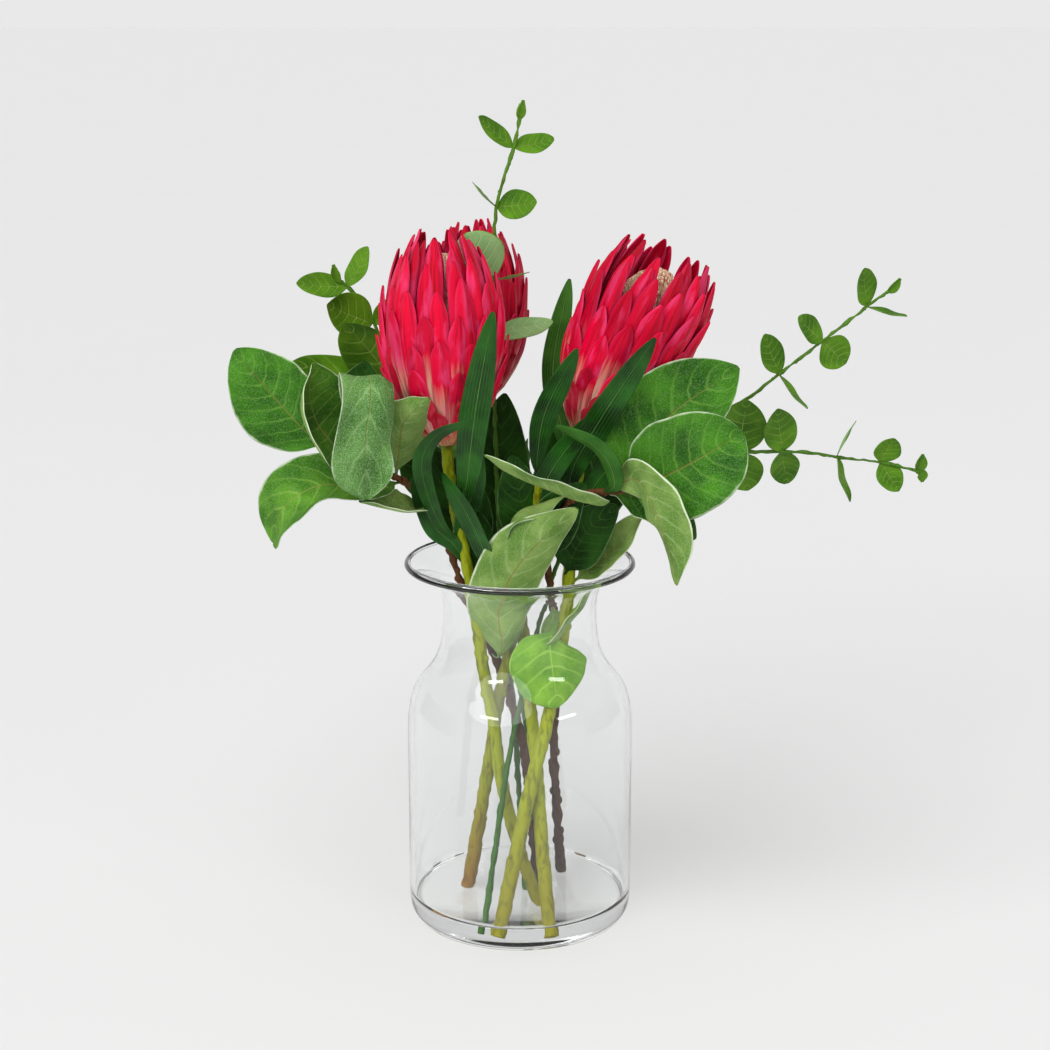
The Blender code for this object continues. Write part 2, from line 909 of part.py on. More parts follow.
def build_whorl(bloom, whorl, height, holder):
    """A cup of bracts joined side by side, its edge cut into one point for each bract."""
    rows = 6
    columns = 2 * whorl.bracts
    outer = [(height * i / 24, bloom.radius * bloom_radius(i / 24)) for i in range(25)]
    floor = whorl.layer * FLOOR_STEP
    wall = [(max(h, floor), max(r, 3.0)) for h, r in offset_inwards(outer, whorl.layer * LAYER_STEP)]
    wall[0] = (floor, wall[0][1])
    edit = bmesh.new()
    bmesh.ops.create_grid(edit, x_segments=columns, y_segments=rows, size=1)
    for vert in edit.verts:
        column = round((vert.co.x + 1) / 2 * columns)
        turn = 2 * math.pi * column / columns
        edge = whorl.tip if column % 2 == 0 else whorl.notch
        place = (vert.co.y + 1) / 2 * edge * 24
        low = min(int(place), 23)
        (h0, r0), (h1, r1) = wall[low], wall[low + 1]
        level = h0 + (h1 - h0) * (place - low)
        radius = r0 + (r1 - r0) * (place - low)
        vert.co = Vector((radius * math.cos(turn), radius * math.sin(turn), level)) * MM
    bmesh.ops.remove_doubles(edit, verts=edit.verts, dist=0.01 * MM)
    bottom = min(v.co.z for v in edit.verts)
    level = bottom + 0.1 * MM
    floor_ring = [e for e in edit.edges if e.is_boundary and all(v.co.z < level for v in e.verts)]
    bmesh.ops.contextual_create(edit, geom=floor_ring)
    bmesh.ops.recalc_face_normals(edit, faces=edit.faces)
    mesh = bpy.data.meshes.new(f"{bloom.name}_{whorl.part}")
    edit.to_mesh(mesh)
    edit.free()
    made = add_object(mesh.name, mesh, "bract")
    made.parent = holder
    body = made.modifiers.new("thickness", "SOLIDIFY")
    body.thickness = BRACT_THICKNESS * MM
    body.offset = -1


def build_bloom(bloom):
    base, top = Vector(bloom.base), Vector(bloom.top)
    height = (top - base).length
    holder = bpy.data.objects.new(bloom.name, None)
    bpy.context.scene.collection.objects.link(holder)
    holder.location = base * MM
    holder.rotation_mode = "QUATERNION"
    holder.rotation_quaternion = (top - base).to_track_quat("Z", "Y")
    for whorl in bloom.whorls:
        build_whorl(bloom, whorl, height, holder)
    floor = FLOOR_STEP * (len(bloom.whorls) - 1) + BRACT_THICKNESS + GAP
    widest = bloom.radius * CORE_SHARE
    sides = [
        (floor, 0),
        (floor, 1.6),
        (floor + 5, 0.25 * widest),
        (floor + 14, 0.62 * widest),
        (0.30 * height, 0.9 * widest),
        (0.48 * height, widest),
        (0.66 * height, 0.92 * widest),
        (0.78 * height, 0.66 * widest),
        (CORE_TOP * height, 0.25 * widest),
        (CORE_TOP * height, 0),
    ]
    core = revolve(bloom.name + "_core", sides, "flower_core", CORE_FACETS)
    core.parent = holder


clear_scene()
STEM_BY_NAME = {stem.name: stem for stem in STEMS}
stem_routes = {}
for stem in STEMS:
    build_stem(stem)
build_vase()
build_clear_layer()
for bloom in BLOOMS:
    build_bloom(bloom)
for leaf in LEAVES:
    build_leaf(leaf)
for pair in LEAF_PAIRS:
    build_leaf_pair(pair)
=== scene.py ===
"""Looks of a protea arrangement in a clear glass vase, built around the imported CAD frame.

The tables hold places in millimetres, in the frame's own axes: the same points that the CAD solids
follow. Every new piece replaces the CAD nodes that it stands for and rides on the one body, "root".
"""

import logging
import math
import random
from dataclasses import dataclass, field
from enum import Enum
from typing import Callable, Sequence

import bmesh
import bpy
from mathutils import Matrix, Vector, noise


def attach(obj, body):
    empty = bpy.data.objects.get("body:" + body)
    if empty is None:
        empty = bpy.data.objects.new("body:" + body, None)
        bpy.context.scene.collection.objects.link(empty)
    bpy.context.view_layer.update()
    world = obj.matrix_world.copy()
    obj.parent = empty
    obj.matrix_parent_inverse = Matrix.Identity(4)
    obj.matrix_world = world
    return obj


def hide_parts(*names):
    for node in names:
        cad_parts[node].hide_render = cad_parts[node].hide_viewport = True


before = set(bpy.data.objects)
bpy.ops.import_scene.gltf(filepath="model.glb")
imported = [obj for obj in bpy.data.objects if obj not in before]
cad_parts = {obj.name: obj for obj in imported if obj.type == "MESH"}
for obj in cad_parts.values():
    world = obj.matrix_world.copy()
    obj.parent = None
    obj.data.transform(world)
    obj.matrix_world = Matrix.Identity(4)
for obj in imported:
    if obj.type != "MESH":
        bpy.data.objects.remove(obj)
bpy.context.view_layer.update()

LOG = logging.getLogger("protea")
MM = 0.001
BODY = "root"
# Points nearer than this, in metres, are one point
WELD = 0.00001
Point = tuple[float, float, float]
Socket = bpy.types.NodeSocket


# ---------------------------------------------------------------- helpers


def linear(colour: int) -> tuple[float, float, float, float]:
    """Turns an sRGB hex colour into linear light with full alpha.

    Args:
        colour: The colour as 0xRRGGBB.

    Returns:
        Red, green, blue and alpha.
    """
    channels = [(colour >> shift & 255) / 255 for shift in (16, 8, 0)]
    lit = [c / 12.92 if c <= 0.04045 else ((c + 0.055) / 1.055) ** 2.4 for c in channels]
    return (*lit, 1.0)


def deselect() -> None:
    """Leaves object mode with nothing selected."""
    if bpy.context.mode != "OBJECT":
        bpy.ops.object.mode_set(mode="OBJECT")
    bpy.ops.object.select_all(action="DESELECT")


def pick(obj: bpy.types.Object) -> None:
    """Makes an object the only selected and active one."""
    deselect()
    obj.select_set(True)
    bpy.context.view_layer.objects.active = obj


def apply_modifier(obj: bpy.types.Object, kind: str, **settings: object) -> None:
    """Adds a modifier and applies it at once.

    Args:
        obj: The object that gets it.
        kind: The modifier's type.
        settings: Its settings by name.
    """
    pick(obj)
    modifier = obj.modifiers.new(kind.lower(), kind)
    for key, value in settings.items():
        setattr(modifier, key, value)
    bpy.ops.object.modifier_apply(modifier=modifier.name)


def smooth(obj: bpy.types.Object, angle: float = 40) -> None:
    """Shades an object smooth except over edges sharper than an angle in degrees."""
    pick(obj)
    bpy.ops.object.shade_smooth_by_angle(angle=math.radians(angle))


def weld(obj: bpy.types.Object) -> None:
    """Merges doubled points and turns all faces outwards.

    Args:
        obj: The object whose mesh is cleaned.
    """
    pick(obj)
    bpy.ops.object.mode_set(mode="EDIT")
    bpy.ops.mesh.select_all(action="SELECT")
    bpy.ops.mesh.remove_doubles(threshold=WELD)
    bpy.ops.mesh.normals_make_consistent(inside=False)
    bpy.ops.object.mode_set(mode="OBJECT")


def displace_by_clouds(obj: bpy.types.Object, name: str, grain: float, depth: float) -> None:
    """Breaks a surface up by cloudy noise.

    Args:
        obj: The object.
        name: The noise's name.
        grain: Size of the noise, in millimetres.
        depth: How far it moves the surface, in millimetres.
    """
    clouds = bpy.data.textures.new(name, "CLOUDS")
    clouds.noise_scale = grain * MM
    apply_modifier(
        obj, "DISPLACE", texture=clouds, strength=depth * MM, mid_level=0.5, texture_coords="LOCAL"
    )


def join(objects: Sequence[bpy.types.Object], name: str) -> bpy.types.Object:
    """Joins objects into one.

    Args:
        objects: What is joined, the first one keeping its material slots.
        name: The joined object's name.

    Returns:
        The joined object.
    """
    deselect()
    for obj in objects:
        obj.select_set(True)
    bpy.context.view_layer.objects.active = objects[0]
    if len(objects) > 1:
        bpy.ops.object.join()
    objects[0].name = name
    objects[0].data.name = name
    return objects[0]


def hand_over(obj: bpy.types.Object, nodes: Sequence[str]) -> None:
    """Lets a piece ride on the body and the nodes that it stands for, and reports it.

    Args:
        obj: The finished piece.
        nodes: CAD nodes that it replaces.
    """
    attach(obj, BODY)
    if nodes:
        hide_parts(*nodes)
    LOG.info("%s: %d faces, for %s", obj.name, len(obj.data.polygons), ", ".join(nodes) or "no node")


def curve_through(points: Sequence[Point | Vector], count: int) -> list[Vector]:
    """Evenly spaced points on a smooth curve through the given ones.

    Args:
        points: The points to pass through.
        count: How many points to return.

    Returns:
        The spaced points, first and last included.
    """
    knots = [Vector(p) for p in points]
    knots = [2 * knots[0] - knots[1], *knots, 2 * knots[-1] - knots[-2]]
    fine: list[Vector] = []
    for before, start, end, after in zip(knots, knots[1:], knots[2:], knots[3:]):
        for i in range(24):
            t = i / 24
            bend = (2 * before - 5 * start + 4 * end - after) * t**2
            swing = (3 * start - before - 3 * end + after) * t**3
            fine.append(0.5 * (2 * start + (end - before) * t + bend + swing))
    fine.append(knots[-2])
    walked = [0.0]
    for a, b in zip(fine, fine[1:]):
        walked.append(walked[-1] + (b - a).length)
    spaced = []
    j = 0
    for i in range(count):
        target = walked[-1] * i / (count - 1)
        while j < len(fine) - 2 and walked[j + 1] < target:
            j += 1
        step = walked[j + 1] - walked[j]
        spaced.append(fine[j].lerp(fine[j + 1], (target - walked[j]) / step if step else 0))
    return spaced


def interpolate(table: Sequence[tuple[float, float]], place: float) -> float:
    """A value read off a table by straight lines.

    Args:
        table: Rows of place and value, with the places rising.
        place: Where to read it.

    Returns:
        The value there, or the last one beyond the table's end.
    """
    for (p0, v0), (p1, v1) in zip(table, table[1:]):
        if place <= p1:
            return v0 + (v1 - v0) * (place - p0) / (p1 - p0)
    return table[-1][1]


# ---------------------------------------------------------------- finishes


class Graph:
    """A material's node tree, grown one node at a time."""

    def __init__(self, name: str) -> None:
        """Makes an empty material whose Principled shader waits to be linked."""
        self.material = bpy.data.materials.new(name)
        self.material.use_nodes = True
        self.tree = self.material.node_tree
        self.shader = self.tree.nodes["Principled BSDF"]

    def add(self, kind: str, inputs: dict | None = None, **settings: object) -> bpy.types.Node:
        """Adds one node.

        Args:
            kind: The node's type.
            inputs: Socket name or number to a value, or to the socket that feeds it.
            settings: The node's own settings.

        Returns:
            The node.
        """
        made = self.tree.nodes.new(kind)
        for key, value in settings.items():
            setattr(made, key, value)
        self.feed(made, inputs or {})
        return made

    def feed(self, made: bpy.types.Node, inputs: dict) -> None:
        """Sets or links a node's inputs.

        Args:
            made: The node.
            inputs: Socket name or number to a value, or to the socket that feeds it.
        """
        for key, value in inputs.items():
            if isinstance(value, bpy.types.NodeSocket):
                self.tree.links.new(value, made.inputs[key])
            else:
                made.inputs[key].default_value = value

    def math(self, operation: str, first: object, second: object = 0.0, clamp: bool = False) -> Socket:
        """A Math node's result, which may be used as another node's input."""
        made = self.add("ShaderNodeMath", {0: first, 1: second}, operation=operation, use_clamp=clamp)
        return made.outputs[0]

    def scaled(self, value: object, factor: float, offset: float = 0.0) -> Socket:
        """A value times a factor plus an offset."""
        made = self.add("ShaderNodeMath", {0: value, 1: factor, 2: offset}, operation="MULTIPLY_ADD")
        return made.outputs[0]

    def noise(self, place: object, scale: float, detail: float) -> Socket:
        """A noise value at a place; the scale is in spots for each metre."""
        made = self.add("ShaderNodeTexNoise", {"Vector": place, "Scale": scale, "Detail": detail})
        return made.outputs["Fac"]

    def ramp(self, value: object, *stops: tuple[float, int]) -> Socket:
        """A colour ramp over a value.

        Args:
            value: What the ramp reads.
            stops: Place and hex colour of each stop.

        Returns:
            The colour.
        """
        made = self.add("ShaderNodeValToRGB", {0: value})
        elements = made.color_ramp.elements
        while len(elements) < len(stops):
            elements.new(0.5)
        for element, (place, colour) in zip(elements, stops):
            element.position = place
            element.color = linear(colour)
        return made.outputs[0]

    def mix(self, share: object, first: object, second: object, blend: str = "MIX") -> Socket:
        """A colour mixed from two.

        Args:
            share: How much of the second colour there is.
            first: A hex colour or a socket.
            second: A hex colour or a socket.
            blend: The way of mixing.

        Returns:
            The mixed colour.
        """
        colours = [linear(c) if isinstance(c, int) else c for c in (first, second)]
        inputs = {"Factor": share, 6: colours[0], 7: colours[1]}
        made = self.add("ShaderNodeMix", inputs, data_type="RGBA", blend_type=blend)
        return made.outputs[2]

    def dress(
        self, roughness: object, colour: object, height: object = None, depth: float = 0.3, **sockets: float
    ) -> None:
        """Feeds the shader.

        Args:
            roughness: A value or a socket.
            colour: A linear colour or a socket.
            height: What its bump follows, if it has one.
            depth: The bump's depth in millimetres.
            sockets: Fixed values, by the shader's socket names with _ for a space.
        """
        self.feed(self.shader, {"Base Color": colour, "Roughness": roughness})
        for key, value in sockets.items():
            self.shader.inputs[key.replace("_", " ")].default_value = value
        if height is not None:
            bump = self.add("ShaderNodeBump", {"Height": height, "Distance": depth * MM, "Strength": 0.8})
            self.feed(self.shader, {"Normal": bump.outputs["Normal"]})


@dataclass(frozen=True)
class BladeFinish:
    """A leaf surface: blade coordinates give its midrib, side veins and margin, and noise its mottling.

    The hex colours are the ground's darker and lighter parts, the side veins, the margin and the midrib. Widths
    are shares of the blade's half-width.
    """

    name: str
    dark: int
    light: int
    vein: int
    margin: int
    rib: int
    vein_pairs: float = 9
    vein_slant: float = 0.22
    vein_strength: float = 0.5
    vein_sharpness: float = 7
    margin_width: float = 0.06
    rib_width: float = 0.05
    felt: float = 0.25
    speckle: float = 0.09
    roughness: float = 0.75
    gloss: float = 0.18
    parallel: bool = False

    def build(self) -> bpy.types.Material:
        """Grows the node tree.

        Returns:
            The material.
        """
        g = Graph(self.name)
        uv = g.add("ShaderNodeUVMap", uv_map="blade").outputs["UV"]
        axes = g.add("ShaderNodeSeparateXYZ", {0: uv})
        along = axes.outputs["X"]
        off_rib = g.math("MULTIPLY", g.math("ABSOLUTE", g.math("SUBTRACT", axes.outputs["Y"], 0.5)), 2.0)
        place = g.add("ShaderNodeTexCoord").outputs["Object"]
        # Veins wander over about 6 mm
        wander = g.noise(place, 160.0, 3.0)
        vein = self.veins(g, along, off_rib, wander)
        rib_half = g.scaled(along, -0.75 * self.rib_width, self.rib_width)
        rib = g.math("SUBTRACT", 1.0, g.math("DIVIDE", off_rib, rib_half), clamp=True)
        edge = g.math("SUBTRACT", g.math("ADD", off_rib, g.scaled(wander, 0.10, -0.05)), 1.0 - self.margin_width)
        margin = g.math("DIVIDE", edge, self.margin_width, clamp=True)
        # Mottling is 17 mm across, the net of small veins 2 mm
        ground = g.ramp(g.noise(place, 60.0, 5.0), (0.36, self.dark), (0.66, self.light))
        netting = g.add("ShaderNodeTexVoronoi", {"Vector": place, "Scale": 520.0}, feature="DISTANCE_TO_EDGE")
        net = g.math("LESS_THAN", netting.outputs[0], 0.06)
        # Hairs are about 0.1 mm, drawn as tufts of 0.6 mm so that they show
        fuzz = g.noise(place, 1600.0, 2.0)
        hairs = g.math("MULTIPLY", g.math("GREATER_THAN", fuzz, 0.56), self.speckle)
        colour = g.mix(hairs, ground, self.margin)
        colour = g.mix(g.math("MULTIPLY", net, 0.0 if self.parallel else 0.10), colour, self.vein)
        colour = g.mix(g.math("MULTIPLY", vein, self.vein_strength), colour, self.vein)
        colour = g.mix(g.math("MULTIPLY", rib, 0.85), colour, self.rib)
        colour = g.mix(g.math("MULTIPLY", margin, 0.85), colour, self.margin)
        height = g.math("SUBTRACT", g.math("MULTIPLY", fuzz, self.felt), g.math("MULTIPLY", vein, 0.8))
        height = g.math("SUBTRACT", height, rib)
        roughness = g.scaled(fuzz, 0.12, self.roughness - 0.06)
        g.dress(roughness, colour, height, 0.4, Specular_IOR_Level=self.gloss)
        return g.material

    def veins(self, g: Graph, along: object, off_rib: object, wander: object) -> Socket:
        """The side veins as a value from 0 to 1.

        Args:
            g: The node tree.
            along: Share of the blade's length.
            off_rib: Share of the half-width, away from the midrib.
            wander: Noise that makes the veins uneven.

        Returns:
            The socket that is 1 in the middle of a vein.
        """
        if self.parallel:
            phase = g.math("ADD", off_rib, g.scaled(wander, 0.12))
        else:
            slant = g.math("MULTIPLY", g.math("POWER", off_rib, 1.3), self.vein_slant)
            phase = g.math("ADD", g.math("SUBTRACT", along, slant), g.scaled(wander, 0.05))
        wave = g.math("SINE", g.math("MULTIPLY", phase, 2 * math.pi * self.vein_pairs))
        line = g.math("POWER", g.math("MAXIMUM", wave, 0.0), self.vein_sharpness)
        fade = g.math("SUBTRACT", 1.0, g.math("MULTIPLY", off_rib, 0.8), clamp=True)
        return g.math("MULTIPLY", line, fade)


@dataclass(frozen=True)
class BractFinish:
    """A dyed bract: pale at its foot, deep along its middle, with streaks along it, and a painted highlight that
    makes its edges and patches pinker.
    """

    name: str
    foot: int
    body: int
    deep: int
    tip: int
    # Colour of the painted highlight on the edges and in patches
    edge: int = 0xE84C86
    foot_end: float = 0.35

    def build(self) -> bpy.types.Material:
        """Grows the node tree.

        Returns:
            The material.
        """
        g = Graph(self.name)
        uv = g.add("ShaderNodeUVMap", uv_map="blade").outputs["UV"]
        axes = g.add("ShaderNodeSeparateXYZ", {0: uv})
        along = axes.outputs["X"]
        off_middle = g.math("MULTIPLY", g.math("ABSOLUTE", g.math("SUBTRACT", axes.outputs["Y"], 0.5)), 2.0)
        # One number for each bract moves its streaks, patches, shade and pale foot
        tint = g.add("ShaderNodeAttribute", attribute_name="tint").outputs["Fac"]
        lengthwise = {0: g.scaled(along, 1.8), 1: g.scaled(axes.outputs["Y"], 9.0), 2: g.scaled(tint, 40.0)}
        streak = g.noise(g.add("ShaderNodeCombineXYZ", lengthwise).outputs[0], 1.0, 4.0)
        patches = {0: g.scaled(along, 3.0), 1: g.scaled(axes.outputs["Y"], 2.5), 2: g.scaled(tint, 23.0)}
        patch = g.noise(g.add("ShaderNodeCombineXYZ", patches).outputs[0], 1.0, 3.0)
        reach = g.math("ADD", along, g.scaled(streak, 0.3, -0.15))
        reach = g.math("ADD", reach, g.scaled(tint, 0.22, -0.11))
        stops = ((0.05, self.foot), (self.foot_end, self.body), (0.84, self.body), (1.0, self.tip))
        colour = g.ramp(reach, *stops)
        colour = g.mix(g.scaled(g.ramp(streak, (0.50, 0x000000), (0.62, 0xFFFFFF)), 0.6), colour, self.deep)
        # Painted highlight: pink patches, then pinker edges
        colour = g.mix(g.scaled(g.ramp(patch, (0.52, 0x000000), (0.66, 0xFFFFFF)), 0.40), colour, self.edge)
        colour = g.mix(g.scaled(g.math("POWER", off_middle, 5.0), 0.35), colour, self.edge)
        shade = g.scaled(tint, 0.40, 0.74)
        grey = g.add("ShaderNodeCombineColor", {0: shade, 1: shade, 2: shade}).outputs[0]
        colour = g.mix(1.0, colour, grey, "MULTIPLY")
        height = g.math("SUBTRACT", g.scaled(streak, 1.0), g.scaled(off_middle, 0.4))
        g.dress(0.5, colour, height, 0.6, Specular_IOR_Level=0.14)
        return g.material


@dataclass(frozen=True)
class StemFinish:
    """A green or barky stem: two colours from low to high broken by noise, with darker scars."""

    name: str
    low: int
    high: int
    scar: int
    low_end: float
    high_start: float
    grain: float = 240
    depth: float = 0.3
    roughness: float = 0.55

    def build(self) -> bpy.types.Material:
        """Grows the node tree.

        Returns:
            The material.
        """
        g = Graph(self.name)
        place = g.add("ShaderNodeTexCoord").outputs["Object"]
        height_up = g.add("ShaderNodeSeparateXYZ", {0: place}).outputs["Z"]
        span = self.high_start - self.low_end
        share = g.math("DIVIDE", g.math("SUBTRACT", height_up, self.low_end), span, clamp=True)
        squeezed = g.add("ShaderNodeMapping", {"Vector": place, "Scale": (1.0, 1.0, 0.22)}).outputs[0]
        grain = g.noise(squeezed, self.grain * 2, 5.0)
        blotch = g.noise(place, self.grain * 0.45, 3.0)
        share = g.math("ADD", share, g.scaled(blotch, 0.6, -0.3), clamp=True)
        colour = g.mix(share, self.low, self.high)
        dark = g.ramp(grain, (0.35, 0xFFFFFF), (0.50, 0x000000))
        colour = g.mix(g.scaled(dark, 0.6), colour, self.scar)
        g.dress(self.roughness, colour, g.math("ADD", grain, blotch), self.depth, Specular_IOR_Level=0.25)
        return g.material


@dataclass(frozen=True)
class WoolFinish:
    """The flower's middle: cream down with rosy hollows."""

    name: str = "protea_wool"

    def build(self) -> bpy.types.Material:
        """Grows the node tree.

        Returns:
            The material.
        """
        g = Graph(self.name)
        place = g.add("ShaderNodeTexCoord").outputs["Object"]
        squeezed = g.add("ShaderNodeMapping", {"Vector": place, "Scale": (1.0, 1.0, 0.25)}).outputs[0]
        tuft = g.noise(squeezed, 1100.0, 4.0)
        colour = g.ramp(tuft, (0.36, 0x94403A), (0.47, 0xC4987A), (0.62, 0xE6D2B0))
        g.dress(0.9, colour, tuft, 1.2, Specular_IOR_Level=0.1)
        return g.material


@dataclass(frozen=True)
class GlassFinish:
    """Clear blown soda-lime glass, IOR 1.5, with no tint that shows in a 3 mm wall."""

    name: str = "clear_blown_glass"

    def build(self) -> bpy.types.Material:
        """Grows the node tree.

        Returns:
            The material.
        """
        g = Graph(self.name)
        place = g.add("ShaderNodeTexCoord").outputs["Object"]
        ripple = g.noise(place, 14.0, 1.0)
        g.dress(0.0, linear(0xFDFEFE), ripple, 0.25, Transmission_Weight=1.0, IOR=1.5, Specular_IOR_Level=0.3)
        return g.material


class Finish(Enum):
    """The finishes, by what they are in real life."""

    # Clear glass: only its edges, its lip and a few glints show
    GLASS = GlassFinish()
    # Down on the unopened florets: dull cream tufts with rosy hollows between
    WOOL = WoolFinish()
    # Woolly leaf: matte deep green with a soft speckle and a white felted margin
    FELT_UPPER = BladeFinish("felted_leaf_upper", 0x1A4E04, 0x3E7C12, 0x6FA040, 0xCFDDBC, 0x747A38)
    # The same leaf with its down unworn: greyer, with veins that hardly stand out
    FELT_GREY = BladeFinish(
        "felted_leaf_downy", 0x3A6A22, 0x5E8E42, 0x8FB474, 0xD3E0C4, 0x7E8A50, speckle=0.22, felt=0.4
    )
    # Its underside: pale dull green with a tan midrib
    FELT_UNDER = BladeFinish(
        "felted_leaf_underside", 0x567C2C, 0x88A654, 0xA8BE82, 0xD8E2C6, 0x9A7E48, vein_strength=0.4, felt=0.35
    )
    # Leaves low on the branch: a lighter, yellower copy of the upper felt, with painted sunlight
    FELT_LIGHT = BladeFinish("felted_leaf_sunlit", 0x2C6208, 0x568C1E, 0x86AC4E, 0xD6E2C6, 0x8A9048)
    # Leaves deep inside the bunch: near black green, painted shade that makes the bunch look dense
    FELT_DEEP = BladeFinish(
        "felted_leaf_old", 0x0E2E04, 0x234E0E, 0x3F6C2A, 0x6F9060, 0x3E5A20, speckle=0.04
    )
    # The young leaf inside the neck: the brightest green of all
    YOUNG_UPPER = BladeFinish(
        "young_leaf_upper", 0x3C7A06, 0x7AAE24, 0xB0D862, 0xA8D060, 0x9CC850, vein_pairs=7, speckle=0.16
    )
    # Leathery strap leaf: dark, faintly glossy, with a pale midrib and fine parallel veins
    STRAP_UPPER = BladeFinish(
        "strap_leaf_upper", 0x0A2E04, 0x1F5A0E, 0x3F8228, 0x1E5210, 0x6A9A4C, vein_pairs=4.5, vein_sharpness=3,
        margin_width=0.05, rib_width=0.09, felt=0.1, speckle=0.03, roughness=0.45, gloss=0.3, parallel=True,
    )
    # Its underside: the same lines on a paler, duller green
    STRAP_UNDER = BladeFinish(
        "strap_leaf_underside", 0x245414, 0x3E7426, 0x5E9440, 0x38681F, 0x8AB06A, vein_pairs=4.5,
        vein_sharpness=3, margin_width=0.05, rib_width=0.09, felt=0.1, speckle=0.03, roughness=0.55, parallel=True,
    )
    # Eucalyptus leaf: thin, smooth and bright green above
    GUM_UPPER = BladeFinish(
        "eucalyptus_upper", 0x305C04, 0x568414, 0x86AC48, 0x6E9438, 0x94B054, vein_pairs=6, margin_width=0.04,
        felt=0.1, speckle=0.05, roughness=0.55,
    )
    # Its underside: a waxy bloom makes it pale and bluish
    GUM_UNDER = BladeFinish(
        "eucalyptus_underside", 0x74A060, 0x92B87A, 0xB0CE96, 0x86AA66, 0xA4C480, vein_pairs=6,
        margin_width=0.04, felt=0.1, speckle=0.1,
    )
    # Dried-looking scales at the bloom's foot: tan at their base, brick red above
    SCALE_BRACT = BractFinish("bract_scale", 0xE0A878, 0xC81C38, 0x98001C, 0xA80020, 0xD05060, 0.5)
    # Outer bracts: cream feet that run into crimson streaks
    LOW_BRACT = BractFinish("bract_low", 0xF6BCA4, 0xD80234, 0xA0001C, 0xC8002C, foot_end=0.52)
    # Middle bracts: rosy feet, mostly hidden, and crimson blades
    MID_BRACT = BractFinish("bract_middle", 0xE85C70, 0xD20030, 0x940014, 0xD40434, foot_end=0.40)
    # Inner bracts: the deepest red, all over
    TOP_BRACT = BractFinish("bract_top", 0xB80428, 0xC40028, 0x7C000E, 0xCC0430, foot_end=0.28)
    # Skin of a young flower stem: smooth yellow-green with darker flecks
    PROTEA_STEM = StemFinish("protea_stem_skin", 0x827E06, 0x8E9A06, 0x4E4A08, 0.02, 0.10)
    # An older stem, which turns tan towards its cut end
    AGED_STEM = StemFinish("aged_stem_skin", 0x805A0C, 0x869008, 0x4E3A08, 0.015, 0.08)
    # Thin sprig: plain leaf green, lighter towards its tip
    SPRIG_STEM = StemFinish("sprig_stem_skin", 0x2A5C10, 0x54801E, 0x3A4614, 0.10, 0.40, grain=400, depth=0.15)
    # Rough bark: dark brown, cracked and quite dull
    BARK = StemFinish("rough_bark", 0x3A2212, 0x664026, 0x180E08, 0.02, 0.25, grain=300, depth=0.9, roughness=0.85)

    def material(self) -> bpy.types.Material:
        """The finish's material, grown once."""
        found = bpy.data.materials.get(self.value.name)
        return found or self.value.build()


# ---------------------------------------------------------------- blades


# Each cut of blade: how full it is, as an exponent, and which way its widest part lies
OUTLINES: dict[str, tuple[float, float]] = {
    "round": (0.52, 0.86),
    "oval": (0.66, 0.84),
    "pointed": (0.85, 0.80),
    "square": (0.32, 1.55),
    "strap": (0.55, 1.15),
}


def half_width(outline: str, share: float) -> float:
    """Half-width of a blade from 0 to 1 at a share of its length."""
    fullness, place = OUTLINES[outline]
    return max(0.0, math.sin(math.pi * min(max(share, 0.0), 1.0) ** place)) ** fullness


def facings_along(spine: Sequence[Vector], facing: Vector) -> list[Vector]:
    """The blade's upper direction at each spine point, turned only as much as the spine itself turns.

    Args:
        spine: Points from the stem to the tip.
        facing: The wished direction of the upper side.

    Returns:
        One unit vector for each point, square to the spine.
    """
    carried = []
    current = Vector(facing)
    for i in range(len(spine)):
        along = (spine[min(i + 1, len(spine) - 1)] - spine[max(i - 1, 0)]).normalized()
        current = (current - current.dot(along) * along).normalized()
        carried.append(current)
    return carried


def grid_blade(
    name: str,
    rows: int,
    across: int,
    place: Callable[[float, float, int], Vector],
    upper: Finish,
    under: Finish,
    thickness: float,
) -> bpy.types.Object:
    """Lays a grid over a surface, gives it thickness and rounds it.

    Args:
        name: The object's name.
        rows: Faces along the blade.
        across: Faces across it.
        place: Where a share along, a side from -1 to 1 and a row number lie, in millimetres.
        upper: Finish of the side that the grid's normals face.
        under: Finish of the other side.
        thickness: Of the blade, in millimetres.

    Returns:
        The closed blade, with blade coordinates in its UV map.
    """
    deselect()
    bpy.ops.mesh.primitive_grid_add(x_subdivisions=rows, y_subdivisions=across, size=2, location=(0, 0, 0))
    obj = bpy.context.active_object
    obj.name = name
    obj.data.name = name
    mesh = obj.data
    while mesh.uv_layers:
        mesh.uv_layers.remove(mesh.uv_layers[0])
    layer = mesh.uv_layers.new(name="blade")
    for loop in mesh.loops:
        co = mesh.vertices[loop.vertex_index].co
        layer.data[loop.index].uv = ((co.x + 1) / 2, (co.y + 1) / 2)
    for vert in mesh.vertices:
        share = (vert.co.x + 1) / 2
        vert.co = place(share, vert.co.y, round(share * rows)) * MM
    mesh.materials.append(upper.material())
    mesh.materials.append(under.material())
    apply_modifier(
        obj, "SOLIDIFY", thickness=thickness * MM, offset=-1, material_offset=1, material_offset_rim=0
    )
    apply_modifier(obj, "SUBSURF", levels=1, render_levels=1)
    pick(obj)
    bpy.ops.object.shade_smooth()
    return obj


